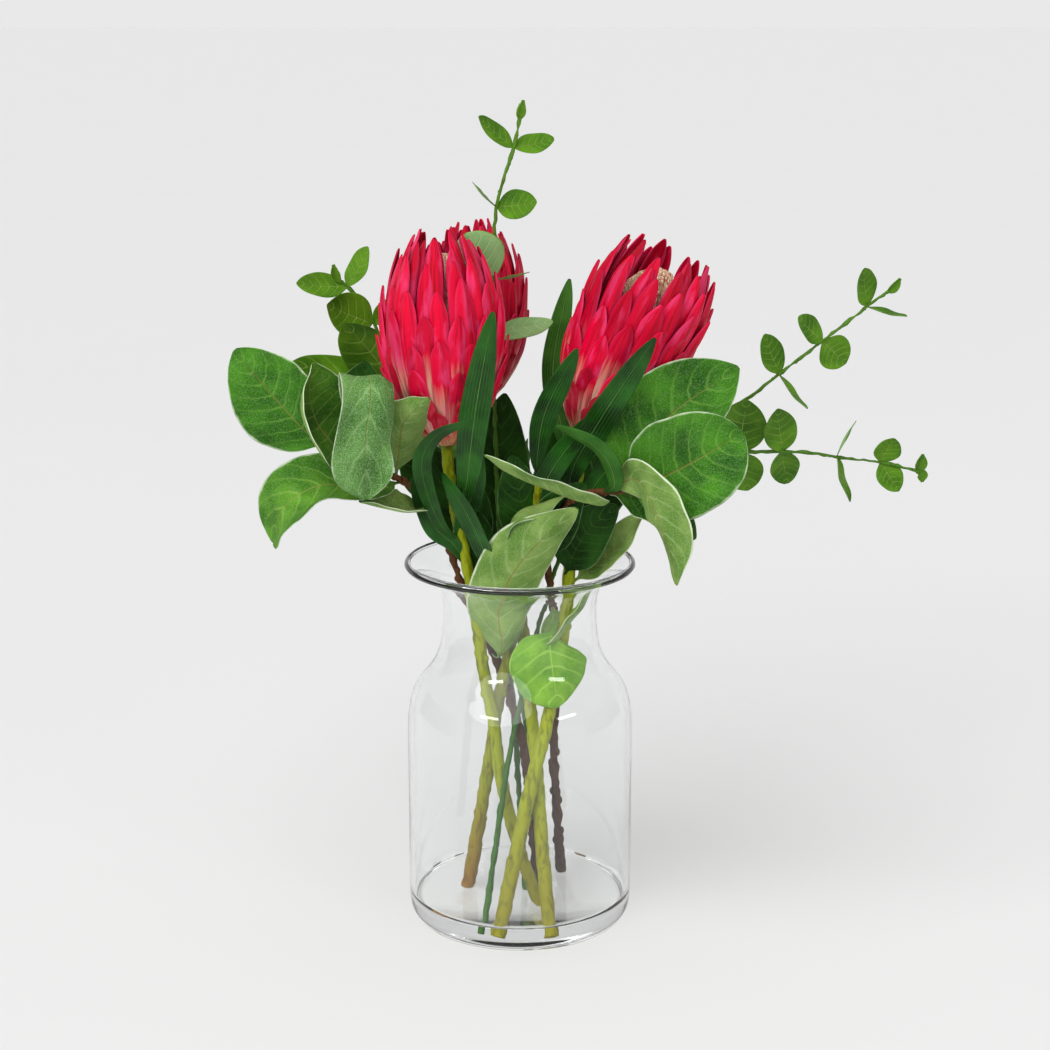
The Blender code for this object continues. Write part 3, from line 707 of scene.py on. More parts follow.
@dataclass(frozen=True)
class Leaf:
    """One leaf: its spine from stem to tip in millimetres, and how its blade is cut and bent.

    facing is the upper side's direction and curl how far the blade is bent across, in degrees. The petiole is the
    narrow start. fold raises both halves from the midrib, and wave, in millimetres, ripples the blade.
    """

    name: str
    spine: tuple[Point, ...]
    facing: Point
    width: float
    curl: float = 15
    outline: str = "oval"
    petiole: float = 5
    fold: float = 0.10
    wave: float = 1.6
    node: bool = True
    upper: Finish = Finish.FELT_UPPER
    under: Finish = Finish.FELT_UNDER
    slot: str = "felted_leaf"
    rows: int = 22
    across: int = 8
    stalk_half: float = 0.75
    thickness: float = 0.6

    def build(self) -> None:
        """Builds the leaf with its stalk as a narrow start of the blade, and hands it over."""
        rows = self.rows
        spine = curve_through(self.spine, rows + 1)
        length = sum((b - a).length for a, b in zip(spine, spine[1:]))
        facings = facings_along(spine, Vector(self.facing))
        stalk = self.petiole / length
        seed = random.Random(self.name).uniform(0, 50)
        bend = math.radians(self.curl)

        def place(share: float, side: float, row: int) -> Vector:
            """Where a point of the blade lies.

            Args:
                share: Of the blade's length.
                side: From -1 at one margin to 1 at the other.
                row: The grid's row.

            Returns:
                The point in millimetres.
            """
            along = (spine[min(row + 1, rows)] - spine[max(row - 1, 0)]).normalized()
            up = facings[row]
            blade_share = (share - stalk) / (1 - stalk)
            half = max(self.stalk_half, self.width / 2 * half_width(self.outline, blade_share))
            ragged = noise.noise(Vector((share * 5, seed, 3 if side > 0 else 7)))
            half *= 1 + 0.10 * abs(side) * ragged
            out = math.sin(bend * side) / bend
            rise = (1 - math.cos(bend * side)) / bend + self.fold * abs(side)
            # Narrow parts ripple less
            swell = min(1.0, half / 9)
            wave = noise.noise(Vector((share * 3.2, side * 1.1, seed)))
            frill = abs(side) ** 3 * noise.noise(Vector((share * 8, side * 0.6, seed + 9)))
            lift = self.wave * swell * (1.6 * wave + 1.5 * frill)
            return spine[row] + half * (up.cross(along) * out + up * rise) + up * lift

        obj = grid_blade(self.name, rows, self.across, place, self.upper, self.under, self.thickness)
        hand_over(obj, [self.name] if self.node else [])


# ---------------------------------------------------------------- stems


# Radians from one leaf scar to the next one up, rounded as the stems' random turns are
GOLDEN_ANGLE = 2.4


@dataclass(frozen=True)
class Stem:
    """A stem: route points in millimetres, end radii, and what breaks its surface.

    Knobs are leaf scars, one every knob_step millimetres. rough is how much the radius varies, as a share.
    """

    name: str
    route: tuple[Point, ...]
    radii: tuple[float, float]
    finish: Finish
    slot: str
    knob_step: float
    knob_size: float
    rough: float
    spacing: float = 3.0
    bark_grain: float = 3.0
    bark_depth: float = 2.2

    def centres(self) -> list[Vector]:
        """Evenly spaced points along the stem, in millimetres."""
        length = sum((Vector(b) - Vector(a)).length for a, b in zip(self.route, self.route[1:]))
        return curve_through(self.route, max(8, round(length / self.spacing)))

    def radius_at(self, share: float) -> float:
        """The stem's radius in millimetres at a share of its points."""
        return self.radii[0] + (self.radii[1] - self.radii[0]) * share

    def build(self) -> None:
        """Sweeps the stem, adds its knobs, roughens it and hands it over."""
        centres = self.centres()
        count = len(centres)
        deselect()
        bpy.ops.curve.primitive_bezier_curve_add()
        guide = bpy.context.active_object
        curve = guide.data
        curve.splines.clear()
        spline = curve.splines.new("POLY")
        spline.points.add(count - 1)
        draw = random.Random(self.name)
        for i, (point, centre) in enumerate(zip(spline.points, centres)):
            point.co = (*(centre * MM), 1)
            point.radius = self.radius_at(i / (count - 1)) * (1 + self.rough * draw.uniform(-1, 1))
        curve.dimensions = "3D"
        curve.bevel_depth = MM
        curve.bevel_resolution = 4
        curve.use_fill_caps = True
        guide.location = (0, 0, 0)
        guide.rotation_euler = (0, 0, 0)
        pick(guide)
        bpy.ops.object.convert(target="MESH")
        tube = bpy.context.active_object
        tube.data.materials.clear()
        tube.data.materials.append(self.finish.material())
        weld(tube)
        displace_by_clouds(tube, f"{self.name}_bark", self.bark_grain, self.bark_depth)
        stem = join([tube, *self.knobs(centres, draw)], self.name)
        smooth(stem, 50)
        hand_over(stem, [self.name])

    def knobs(self, centres: list[Vector], draw: random.Random) -> list[bpy.types.Object]:
        """Small raised leaf scars, set spirally round the stem.

        Args:
            centres: The stem's centre line.
            draw: The stem's own random numbers.

        Returns:
            The knobs.
        """
        made = []
        step = max(2, round(self.knob_step / self.spacing))
        turn = draw.uniform(0, 6.28)
        for i in range(step, len(centres) - 2, step):
            turn += GOLDEN_ANGLE
            along = (centres[i + 1] - centres[i - 1]).normalized()
            side = along.orthogonal().normalized()
            out = side * math.cos(turn) + along.cross(side) * math.sin(turn)
            place = centres[i] + out * self.radius_at(i / len(centres)) * 0.86
            deselect()
            bpy.ops.mesh.primitive_ico_sphere_add(subdivisions=2, radius=1, location=(0, 0, 0))
            knob = bpy.context.active_object
            size = self.knob_size * draw.uniform(0.75, 1.25)
            turned = along.to_track_quat("Z", "Y").to_matrix()
            for vert in knob.data.vertices:
                stretched = Vector((vert.co.x, vert.co.y, vert.co.z * 1.7)) * size
                vert.co = (turned @ stretched + place) * MM
            knob.data.materials.append(self.finish.material())
            made.append(knob)
        return made


# The height at which the stems stand in the set layer, in millimetres
FOOT = 7.5
PROTEA = {"finish": Finish.PROTEA_STEM, "slot": "protea_stem", "rough": 0.03}
AGED = {"finish": Finish.AGED_STEM, "slot": "protea_stem", "rough": 0.04}
WOODY = {"finish": Finish.BARK, "slot": "bark", "radii": (2.9, 1.4), "knob_step": 7, "rough": 0.16}
SPRIG = {"finish": Finish.SPRIG_STEM, "slot": "sprig_stem", "rough": 0.03}
STEMS: tuple[Stem, ...] = (
    Stem(
        "protea_left_stem",
        (
            (12, -20, FOOT), (-3, -13, 50), (-11, -9, 85), (-14, -9, 112), (-19, -11, 140),
            (-24, -14, 180), (-31, -19, 220), (-36.5, -23, 252), (-38, -24, 274),
        ),
        radii=(3.5, 3.0), knob_step=21, knob_size=1.15, **PROTEA,
    ),
    Stem(
        "protea_back_stem",
        (
            (16, -49, FOOT), (12, -35, 50), (9, -20, 90), (5, -8, 130), (0, 5, 175), (-9, 20, 215),
            (-19, 35, 255), (-23, 40, 285),
        ),
        radii=(3.8, 3.0), knob_step=19, knob_size=1.25, **PROTEA,
    ),
    Stem(
        "protea_right_stem",
        (
            (-11, -49, FOOT), (-2, -38, 50), (6, -31, 85), (14, -24, 116), (21, -14, 150),
            (26, -7, 190), (29, -2.5, 230), (32.5, -2.8, 262), (36, -4, 274),
        ),
        radii=(4.0, 3.0), knob_step=20, knob_size=1.3, **PROTEA,
    ),
    Stem(
        "protea_shoot_stem",
        (
            (-30, 6, FOOT), (-23, 4, 50), (-16, 1, 95), (-11.5, -2, 125), (-4, -4, 160), (3, -10, 195),
            (8, -20, 230), (10, -27, 254),
        ),
        radii=(4.0, 2.4), knob_step=15, knob_size=1.35, **AGED,
    ),
    Stem(
        "left_branch_stem",
        (
            (10, 6, FOOT), (6.5, 3, 60), (3, 0, 90), (-1.5, -0.5, 112), (-9.5, 4.5, 135), (-18, 3, 158),
            (-30, -3, 186), (-36, -9, 206), (-43, -15, 228), (-56, -21, 247), (-73, -25, 259),
            (-88, -28, 266), (-101, -28, 271),
        ),
        knob_size=1.3, **WOODY,
    ),
    Stem(
        "right_branch_stem",
        (
            (24, 27, FOOT), (21, 23, 50), (19, 19, 90), (20, 14, 125), (21, 8, 155), (18, 1, 178),
            (15, -9, 200), (16, -19, 222), (24, -28, 240), (36, -34, 248), (50, -42, 250),
            (56, -46, 252),
        ),
        knob_size=1.4, **WOODY,
    ),
    Stem(
        "sprig_top_stem",
        (
            (3, 1, FOOT), (0, 5, 60), (-3.5, 8, 112), (-6, 10, 150), (-10, 6, 195), (-12, 5, 235),
            (-13, 7, 270), (-15, 8, 327), (-14, 8, 354), (-12, 6, 392), (-3, 4, 423), (0, 3, 438),
        ),
        radii=(1.7, 0.8), knob_step=15, knob_size=0.45, **SPRIG,
    ),
    Stem(
        "sprig_left_stem",
        (
            (12, 18, FOOT), (8, 18, 60), (2, 18, 112), (-7, 19, 150), (-20, 16, 190), (-36, 14, 228),
            (-56, 13, 268), (-70, 12, 308), (-80, 11, 336), (-94, 8, 353),
        ),
        radii=(1.7, 0.8), knob_step=17, knob_size=0.45, **SPRIG,
    ),
    Stem(
        "sprig_upper_right_stem",
        (
            (-19, -43, FOOT), (-13, -28, 50), (-6, -14, 95), (2, 2, 128), (10, 9, 162), (20, 15, 195),
            (36, 20, 228), (62, 22, 256), (92, 18, 274), (119, 14, 287), (139, 11, 303), (161, 9, 321),
            (184, 6, 340), (194, 5, 348),
        ),
        radii=(1.7, 0.7), knob_step=16, knob_size=0.45, **SPRIG,
    ),
    Stem(
        "sprig_lower_right_stem",
        (
            (62, 22, 256), (80, 14, 257), (118, 6, 261), (150, 3, 262), (172, 2, 259), (193, 0, 257),
            (214, -1, 252),
        ),
        radii=(1.1, 0.7), knob_step=14, knob_size=0.35, **SPRIG,
    ),
)


# ---------------------------------------------------------------- foliage


STRAP = {
    "upper": Finish.STRAP_UPPER,
    "under": Finish.STRAP_UNDER,
    "slot": "strap_leaf",
    "outline": "strap",
    "fold": 0.06,
    "wave": 0.35,
}

BRANCH_LEAVES: tuple[Leaf, ...] = (
    Leaf(
        "left_branch_end_leaf",
        ((-101, -28, 271), (-109, -27, 277), (-124, -26, 293), (-148, -20, 321)),
        facing=(-0.25, -1, 0.25), width=44, curl=20,
    ),
    Leaf(
        "left_branch_cupped_leaf",
        ((-91, -29, 267), (-94, -40, 272), (-101, -48, 286), (-107, -52, 303), (-104, -54, 320)),
        facing=(0.2, -1, 0.25), width=56, curl=58, outline="round", petiole=8, fold=0.16, wave=2.4,
        upper=Finish.FELT_LIGHT,
    ),
    Leaf(
        "left_branch_rear_leaf", ((-86, -27, 265), (-87, -20, 277), (-84, -16, 292), (-80, -14, 314)),
        facing=(-0.1, -1, 0.2), width=32, curl=16, upper=Finish.FELT_DEEP,
    ),
    Leaf(
        "left_branch_hanging_leaf",
        (
            (-76, -26, 260), (-80, -42, 284), (-78, -56, 309), (-75, -66, 313), (-74, -74, 300),
            (-77, -73, 280), (-77, -70, 252),
        ),
        facing=(0, 1, 0.5), width=35, curl=-30, outline="square", petiole=26, wave=5.0,
        upper=Finish.FELT_GREY,
    ),
    Leaf(
        "left_branch_curled_leaf", ((-65, -23, 254), (-62, -36, 272), (-58, -50, 290), (-45, -60, 303)),
        facing=(0.3, 0.6, 0.8), width=30, curl=60, outline="pointed", petiole=8, wave=2.4,
        under=Finish.FELT_UNDER,
    ),
    Leaf(
        "left_branch_low_leaf",
        ((-62, -22, 251), (-80, -42, 254), (-102, -54, 256), (-119, -58, 245), (-127, -54, 226)),
        facing=(0, -0.75, 1), width=44, curl=22, outline="square", petiole=8, wave=2.6,
        upper=Finish.FELT_LIGHT,
    ),
    Leaf(
        "left_branch_small_leaf", ((-50, -19, 239), (-58, -36, 240), (-69, -47, 244), (-82, -54, 248)),
        facing=(0, -0.9, 0.8), width=26, curl=44, petiole=8, upper=Finish.FELT_UNDER,
    ),
    Leaf(
        "right_branch_round_leaf", ((56, -46, 252), (67, -54, 258), (89, -61, 271), (113, -58, 285)),
        facing=(-0.1, -1, 0.1), width=56, curl=18, outline="round",
    ),
    Leaf(
        "right_branch_rear_leaf", ((51, -42, 250), (58, -43, 265), (77, -44, 291), (112, -38, 315)),
        facing=(-0.35, -1, 0.1), width=52, curl=22, upper=Finish.FELT_UPPER,
    ),
    Leaf(
        "right_branch_hanging_leaf",
        (
            (46, -39, 249), (54, -52, 258), (62, -64, 259), (71, -71, 245), (77, -72, 228),
            (80, -70, 208),
        ),
        facing=(0.5, -0.8, 0.6), width=31, curl=26, petiole=10, wave=2.6, upper=Finish.FELT_UNDER,
    ),
    Leaf(
        "right_branch_long_leaf",
        ((34, -33, 247), (42, -45, 244), (21, -58, 253), (0, -66, 264), (-18, -70, 276)),
        facing=(0.15, -0.6, 0.8), width=24, curl=24, petiole=10, upper=Finish.FELT_UPPER,
        under=Finish.FELT_UNDER,
    ),
    Leaf(
        "neck_broad_leaf",
        (
            (-15, 3.5, 150), (-12, -8, 150), (-9, -16, 160), (-11, -23, 180), (-4, -32, 203),
            (10, -42, 224), (30, -50, 244),
        ),
        facing=(0.1, 0.3, 1), width=40, curl=36, petiole=18,
    ),
    Leaf(
        "shadow_leaf", ((7, -17, 220), (-2, -22, 222), (0, -29, 236), (24, -34, 246)),
        facing=(-0.4, -1, 0.4), width=30, upper=Finish.FELT_DEEP,
    ),
    Leaf(
        "rim_leaf", ((26, -5, 190), (38, -8, 200), (52, -13, 214), (65, -20, 233)),
        facing=(-0.6, -0.8, 0.5), width=24, curl=40, petiole=9, upper=Finish.FELT_UNDER,
    ),
    Leaf(
        "neck_hanging_leaf",
        ((24.5, -6, 174), (20, -13, 171), (16, -20, 164), (17, -26, 150), (20, -26, 127)),
        facing=(0.0, -1, 0.35), width=48, curl=-40, outline="round", petiole=16, wave=1.2,
        upper=Finish.YOUNG_UPPER,
    ),
    Leaf(
        "strap_leaf_left", ((-33, -20, 234), (-28, -36, 250), (-22, -59, 297), (-13, -63, 347)),
        facing=(0.1, -1, 0.3), width=16, **STRAP,
    ),
    Leaf(
        "strap_leaf_centre", ((10, -27, 254), (9, -34, 265), (13, -46, 293), (29, -55, 327)),
        facing=(0.1, -1, 0.35), width=15, **STRAP,
    ),
    Leaf(
        "strap_leaf_right", ((29.5, -2.5, 236), (27, -24, 256), (43, -49, 293), (68, -58, 333)),
        facing=(-0.2, -1, 0.3), width=16, **STRAP,
    ),
    Leaf(
        "strap_leaf_curved",
        ((-31, -19, 216), (-43, -34, 234), (-50, -52, 266), (-42, -62, 284), (-24, -66, 292)),
        facing=(-0.4, -1, 0.3), width=10, **STRAP,
    ),
    Leaf(
        "strap_leaf_arched", ((42, -37, 249), (49, -50, 256), (41, -60, 276), (18, -64, 290)),
        facing=(0.6, -0.7, 0.5), width=13, **STRAP,
    ),
    Leaf(
        "strap_leaf_inner", ((-26, -15, 192), (-17, -25, 206), (-26, -36, 234), (-40, -40, 260)),
        facing=(0.1, -1, 0.3), width=14, **STRAP,
    ),
    Leaf(
        "strap_leaf_rear", ((30, -2.5, 244), (25, 9, 264), (18, 26, 302), (27, 35, 351)),
        facing=(0.1, 1, 0.2), width=14, **STRAP,
    ),
)

# Dark filler leaves deep in the bunch and behind it; their near black upper sides are painted shade
DEEP = {"upper": Finish.FELT_DEEP, "under": Finish.FELT_UPPER, "node": False}
DEEP_STRAP = {**STRAP, "node": False}
FILL_LEAVES: tuple[Leaf, ...] = (
    Leaf(
        "deep_leaf_1", ((-24, -10, 200), (-28, -2, 222), (-36, 4, 244), (-46, 6, 262)),
        facing=(0.2, -1, 0.2), width=30, **DEEP,
    ),
    Leaf(
        "deep_leaf_2", ((-8, 12, 205), (-9, 16, 230), (-11, 18, 262), (-8, 14, 292)),
        facing=(0, -1, 0.2), width=34, **DEEP,
    ),
    Leaf(
        "deep_leaf_3", ((16, -6, 205), (19, 8, 226), (24, 16, 250), (24, 20, 278)),
        facing=(0, -1, 0.2), width=34, **DEEP,
    ),
    Leaf(
        "deep_leaf_4", ((28, -4, 220), (40, 8, 234), (52, 14, 250), (64, 16, 268)),
        facing=(-0.2, -1, 0.3), width=32, **DEEP,
    ),
    Leaf(
        "deep_leaf_5", ((-20, -12, 192), (-22, -14, 208), (-26, -12, 222), (-34, -8, 240)),
        facing=(0.2, -1, 0.3), width=22, **DEEP,
    ),
    Leaf(
        "deep_leaf_6", ((24, -8, 196), (30, -14, 212), (38, -18, 226), (52, -20, 238)),
        facing=(-0.1, -1, 0.4), width=28, **DEEP,
    ),
    Leaf(
        "deep_leaf_7", ((-34, 8, 226), (-44, 14, 238), (-54, 18, 254), (-62, 20, 272)),
        facing=(0.1, -1, 0.3), width=30, **DEEP,
    ),
    Leaf(
        "deep_leaf_8", ((4, -10, 210), (3, -18, 224), (0, -22, 244), (-4, -24, 266)),
        facing=(0, -1, 0.2), width=26, **DEEP,
    ),
    Leaf(
        "deep_leaf_9", ((14, -12, 206), (16, -20, 222), (22, -26, 238), (34, -28, 252)),
        facing=(-0.1, -1, 0.3), width=26, **DEEP,
    ),
    Leaf(
        "rear_leaf_1", ((-14, 24, 222), (-22, 40, 232), (-34, 52, 250), (-46, 56, 276)),
        facing=(-0.2, 1, 0.4), width=36, **DEEP,
    ),
    Leaf(
        "rear_leaf_2", ((12, 12, 226), (22, 30, 236), (34, 42, 254), (46, 46, 282)),
        facing=(0.2, 1, 0.4), width=38, **DEEP,
    ),
    Leaf(
        "rear_leaf_3", ((-4, 16, 212), (0, 34, 220), (4, 50, 236), (4, 60, 258)),
        facing=(0, 1, 0.5), width=32, **DEEP,
    ),
    Leaf(
        "rear_leaf_4", ((36, 16, 230), (50, 30, 238), (68, 38, 250), (88, 38, 268)),
        facing=(0.2, 1, 0.5), width=34, **DEEP,
    ),
    Leaf(
        "right_branch_low_leaf", ((46, -39, 249), (60, -36, 246), (76, -40, 240), (91, -46, 226)),
        facing=(0.3, -1, 0.5), width=24, node=False,
    ),
    Leaf(
        "neck_upper_leaf", ((17, -1, 180), (22, -14, 166), (27, -22, 176), (38, -28, 196)),
        facing=(-0.2, -1, 0.3), width=24, upper=Finish.FELT_UNDER, node=False,
    ),
    Leaf(
        "deep_strap_1", ((-28, -17, 205), (-31, -22, 225), (-24, -34, 250), (-22, -40, 280)),
        facing=(0.1, -1, 0.3), width=12, **DEEP_STRAP,
    ),
    Leaf(
        "deep_strap_2", ((4, -14, 215), (8, -22, 235), (18, -32, 262), (40, -40, 292)),
        facing=(-0.1, -1, 0.3), width=13, **DEEP_STRAP,
    ),
    Leaf(
        "deep_strap_3", ((28, -4, 222), (38, -18, 246), (54, -34, 270), (74, -40, 286)),
        facing=(-0.1, -1, 0.3), width=13, **DEEP_STRAP,
    ),
    Leaf(
        "deep_strap_4", ((-27, -16, 200), (-34, -22, 216), (-46, -28, 230), (-56, -32, 256)),
        facing=(0.1, -1, 0.3), width=11, **DEEP_STRAP,
    ),
)


@dataclass(frozen=True)
class Pair:
    """Two opposite eucalyptus leaves at one node of a sprig, in millimetres."""

    name: str
    node: Point
    tips: tuple[Point, Point]
    facings: tuple[Point, Point]
    widths: tuple[float, float]

    def build(self) -> None:
        """Builds both leaves and their clasping feet as one piece, and hands it over."""
        leaves = []
        for i, (tip, facing, width) in enumerate(zip(self.tips, self.facings, self.widths)):
            start = Vector(self.node)
            end = Vector(tip)
            lift = Vector(facing).normalized()
            middle = start.lerp(end, 0.5) - lift * 0.06 * (end - start).length
            leaf = Leaf(
                f"{self.name}_{i}",
                (tuple(start), tuple(middle), tuple(end)),
                facing,
                width,
                12,
                "round",
                1.5,
                0.12,
                0.5,
                upper=Finish.GUM_UPPER,
                under=Finish.GUM_UNDER,
                rows=12,
                across=6,
                stalk_half=0.5,
                thickness=0.4,
            )
            leaves.append(self.blade(leaf))
        hand_over(join(leaves, self.name), [self.name])

    @staticmethod
    def blade(leaf: Leaf) -> bpy.types.Object:
        """One of the two leaves, not yet handed over.

        Args:
            leaf: What to build; its stalk is 4 percent of its length.

        Returns:
            The blade.
        """
        rows = leaf.rows
        spine = curve_through(leaf.spine, rows + 1)
        facings = facings_along(spine, Vector(leaf.facing))
        bend = math.radians(leaf.curl)

        def place(share: float, side: float, row: int) -> Vector:
            """Where a point of the blade lies, from its share along, its side and its row."""
            along = (spine[min(row + 1, rows)] - spine[max(row - 1, 0)]).normalized()
            up = facings[row]
            half = max(leaf.stalk_half, leaf.width / 2 * half_width(leaf.outline, (share - 0.04) / 0.96))
            out = math.sin(bend * side) / bend
            rise = (1 - math.cos(bend * side)) / bend + leaf.fold * abs(side)
            wave = leaf.wave * side * side * math.sin(9 * share + leaf.width)
            return spine[row] + half * (up.cross(along) * out + up * rise) + up * wave

        return grid_blade(leaf.name, rows, leaf.across, place, leaf.upper, leaf.under, leaf.thickness)


def pair(name: str, node: Point, first: tuple, second: tuple) -> Pair:
    """A pair from its node and, for each leaf, the tip, the upper side's direction and the width."""
    return Pair(name, node, (first[0], second[0]), (first[1], second[1]), (first[2], second[2]))


PAIRS: tuple[Pair, ...] = (
    pair(
        "top_pair_1", (-3, 4, 423), ((-21, -4, 439), (0.4, -0.8, 0.5), 11),
        ((18, 8, 427), (0, -1, 0.6), 12),
    ),
    pair(
        "top_pair_2", (-12, 6, 392), ((-24, -6, 406), (0.9, 0.3, 0.3), 9),
        ((9, 1, 395), (0, -1, 0.5), 17),
    ),
    pair(
        "top_pair_3", (-14, 8, 354), ((-29, -4, 379), (0, 1, -0.1), 30),
        ((5, -8, 360), (0.2, -0.2, 1), 9),
    ),
    pair(
        "top_pair_4", (-15, 8, 324), ((-8, -8, 313), (1, -0.2, 0.4), 10),
        ((18, 12, 331), (0, 0.8, -0.8), 14),
    ),
    pair(
        "left_pair_1", (-91, 8.5, 350), ((-117, 0, 353), (0, -0.9, 0.6), 15),
        ((-80, 10, 371), (-0.6, -0.9, 0.2), 13),
    ),
    pair(
        "left_pair_2", (-78, 11, 330), ((-101, -4, 342), (0.1, -1, 0.3), 24),
        ((-62, 8, 344), (0.2, -1, 0.3), 12),
    ),
    pair(
        "left_pair_3", (-66, 12, 296), ((-121, 0, 311), (0, -0.9, 0.7), 22),
        ((-92, -6, 333), (-0.3, -1, 0.1), 30),
    ),
    pair(
        "upper_right_pair_1", (184, 6, 340), ((180, -2, 361), (0.7, -0.9, 0), 16),
        ((203, -4, 336), (0.5, -0.3, 0.9), 11),
    ),
    pair(
        "upper_right_pair_2", (161, 9, 321), ((147, 2, 335), (0.5, -0.9, 0.5), 15),
        ((175, 14, 308), (0.3, -1, 0), 20),
    ),
    pair(
        "upper_right_pair_3", (139, 11, 303), ((130, 7, 325), (0.5, -1, 0), 15),
        ((153, 0, 286), (0.7, -0.2, 0.8), 11),
    ),
    pair(
        "lower_right_pair_1", (193, 0, 257), ((199, -5, 271), (0.3, -1, 0), 16),
        ((203, -4, 242), (0.4, -1, 0), 15),
    ),
    pair(
        "lower_right_pair_2", (170, 2, 259.5), ((178, -8, 281), (0.9, -0.4, 0), 10),
        ((177, -4, 236), (0.9, -0.4, 0), 13),
    ),
    pair(
        "lower_right_pair_3", (141, 4, 262), ((136, -10, 288), (0.1, -1, 0.1), 19),
        ((145, 14, 242), (0.1, -1, 0), 17),
    ),
    pair(
        "lower_right_pair_4", (118, 6, 261), ((120, -6, 292), (0, -1, 0.1), 26),
        ((124, 14, 238), (0, -1, 0), 22),
    ),
)

BUD = {
    "outline": "pointed",
    "petiole": 1,
    "wave": 0.1,
    "node": False,
    "upper": Finish.GUM_UPPER,
    "under": Finish.GUM_UPPER,
    "slot": "eucalyptus_leaf",
}
BUDS: tuple[Leaf, ...] = (
    Leaf(
        "top_bud_1", ((0, 3, 436), (0.5, 2, 440), (2, 1, 447)),
        facing=(0.3, -1, 0), width=5, curl=40, **BUD,
    ),
    Leaf(
        "top_bud_2", ((0, 3, 436), (-0.5, 3, 440), (0, 4, 445)),
        facing=(-0.9, 0.3, 0), width=4, curl=40, **BUD,
    ),
    Leaf(
        "left_bud", ((-94, 8, 352), (-97, 7, 356), (-98, 6, 362)),
        facing=(0.3, -1, 0), width=5, curl=40, **BUD,
    ),
    Leaf(
        "upper_right_bud", ((193, 5, 347), (197, 4, 350), (200, 3, 355)),
        facing=(0.3, -1, 0), width=5, curl=40, **BUD,
    ),
    Leaf(
        "lower_right_bud_1", ((212, -1, 252), (214, -2, 256), (215, -3, 262)),
        facing=(0.3, -1, 0), width=7, curl=40, **BUD,
    ),
    Leaf(
        "lower_right_bud_2", ((212, -1, 252), (215, -1, 251), (216, 0, 246)),
        facing=(0.3, -1, 0), width=6, curl=40, **BUD,
    ),
)


# ---------------------------------------------------------------- blooms


@dataclass(frozen=True)
class Row:
    """A whorl of bracts.

    It reaches from one share of the bloom's height to another. width, inset and flare are in millimetres: how
    wide a bract is, how far inside the bloom's outline it lies and how far its tip leans out.
    """

    low: float
    high: float
    count: int
    width: float
    inset: float
    finish: Finish
    part: str
    flare: float = 0.0


BLOOM_ROWS: tuple[Row, ...] = (
    Row(0.00, 0.17, 9, 10.5, -0.7, Finish.SCALE_BRACT, "outer", 0.5),
    Row(0.02, 0.28, 10, 11.5, 0.0, Finish.SCALE_BRACT, "outer", 0.6),
    Row(0.06, 0.41, 11, 12, 0.9, Finish.LOW_BRACT, "outer", 0.6),
    Row(0.12, 0.54, 12, 12.5, 1.9, Finish.LOW_BRACT, "outer", 0.8),
    Row(0.20, 0.67, 12, 12.5, 3.0, Finish.LOW_BRACT, "middle", 1.2),
    Row(0.29, 0.80, 12, 12, 4.2, Finish.MID_BRACT, "middle", 1.8),
    Row(0.38, 0.91, 12, 11.5, 5.6, Finish.MID_BRACT, "middle", 2.2),
    Row(0.46, 0.97, 11, 11, 7.3, Finish.TOP_BRACT, "inner", 2.0),
    Row(0.54, 1.00, 9, 10, 10.0, Finish.TOP_BRACT, "inner", 1.4),
)
BLOOM_OUTLINE: tuple[tuple[float, float], ...] = (
    (0.0, 0.20),
    (0.03, 0.32),
    (0.08, 0.47),
    (0.16, 0.65),
    (0.28, 0.84),
    (0.42, 0.96),
    (0.55, 1.00),
    (0.68, 0.98),
    (0.80, 0.90),
    (0.91, 0.76),
    (1.0, 0.60),
)


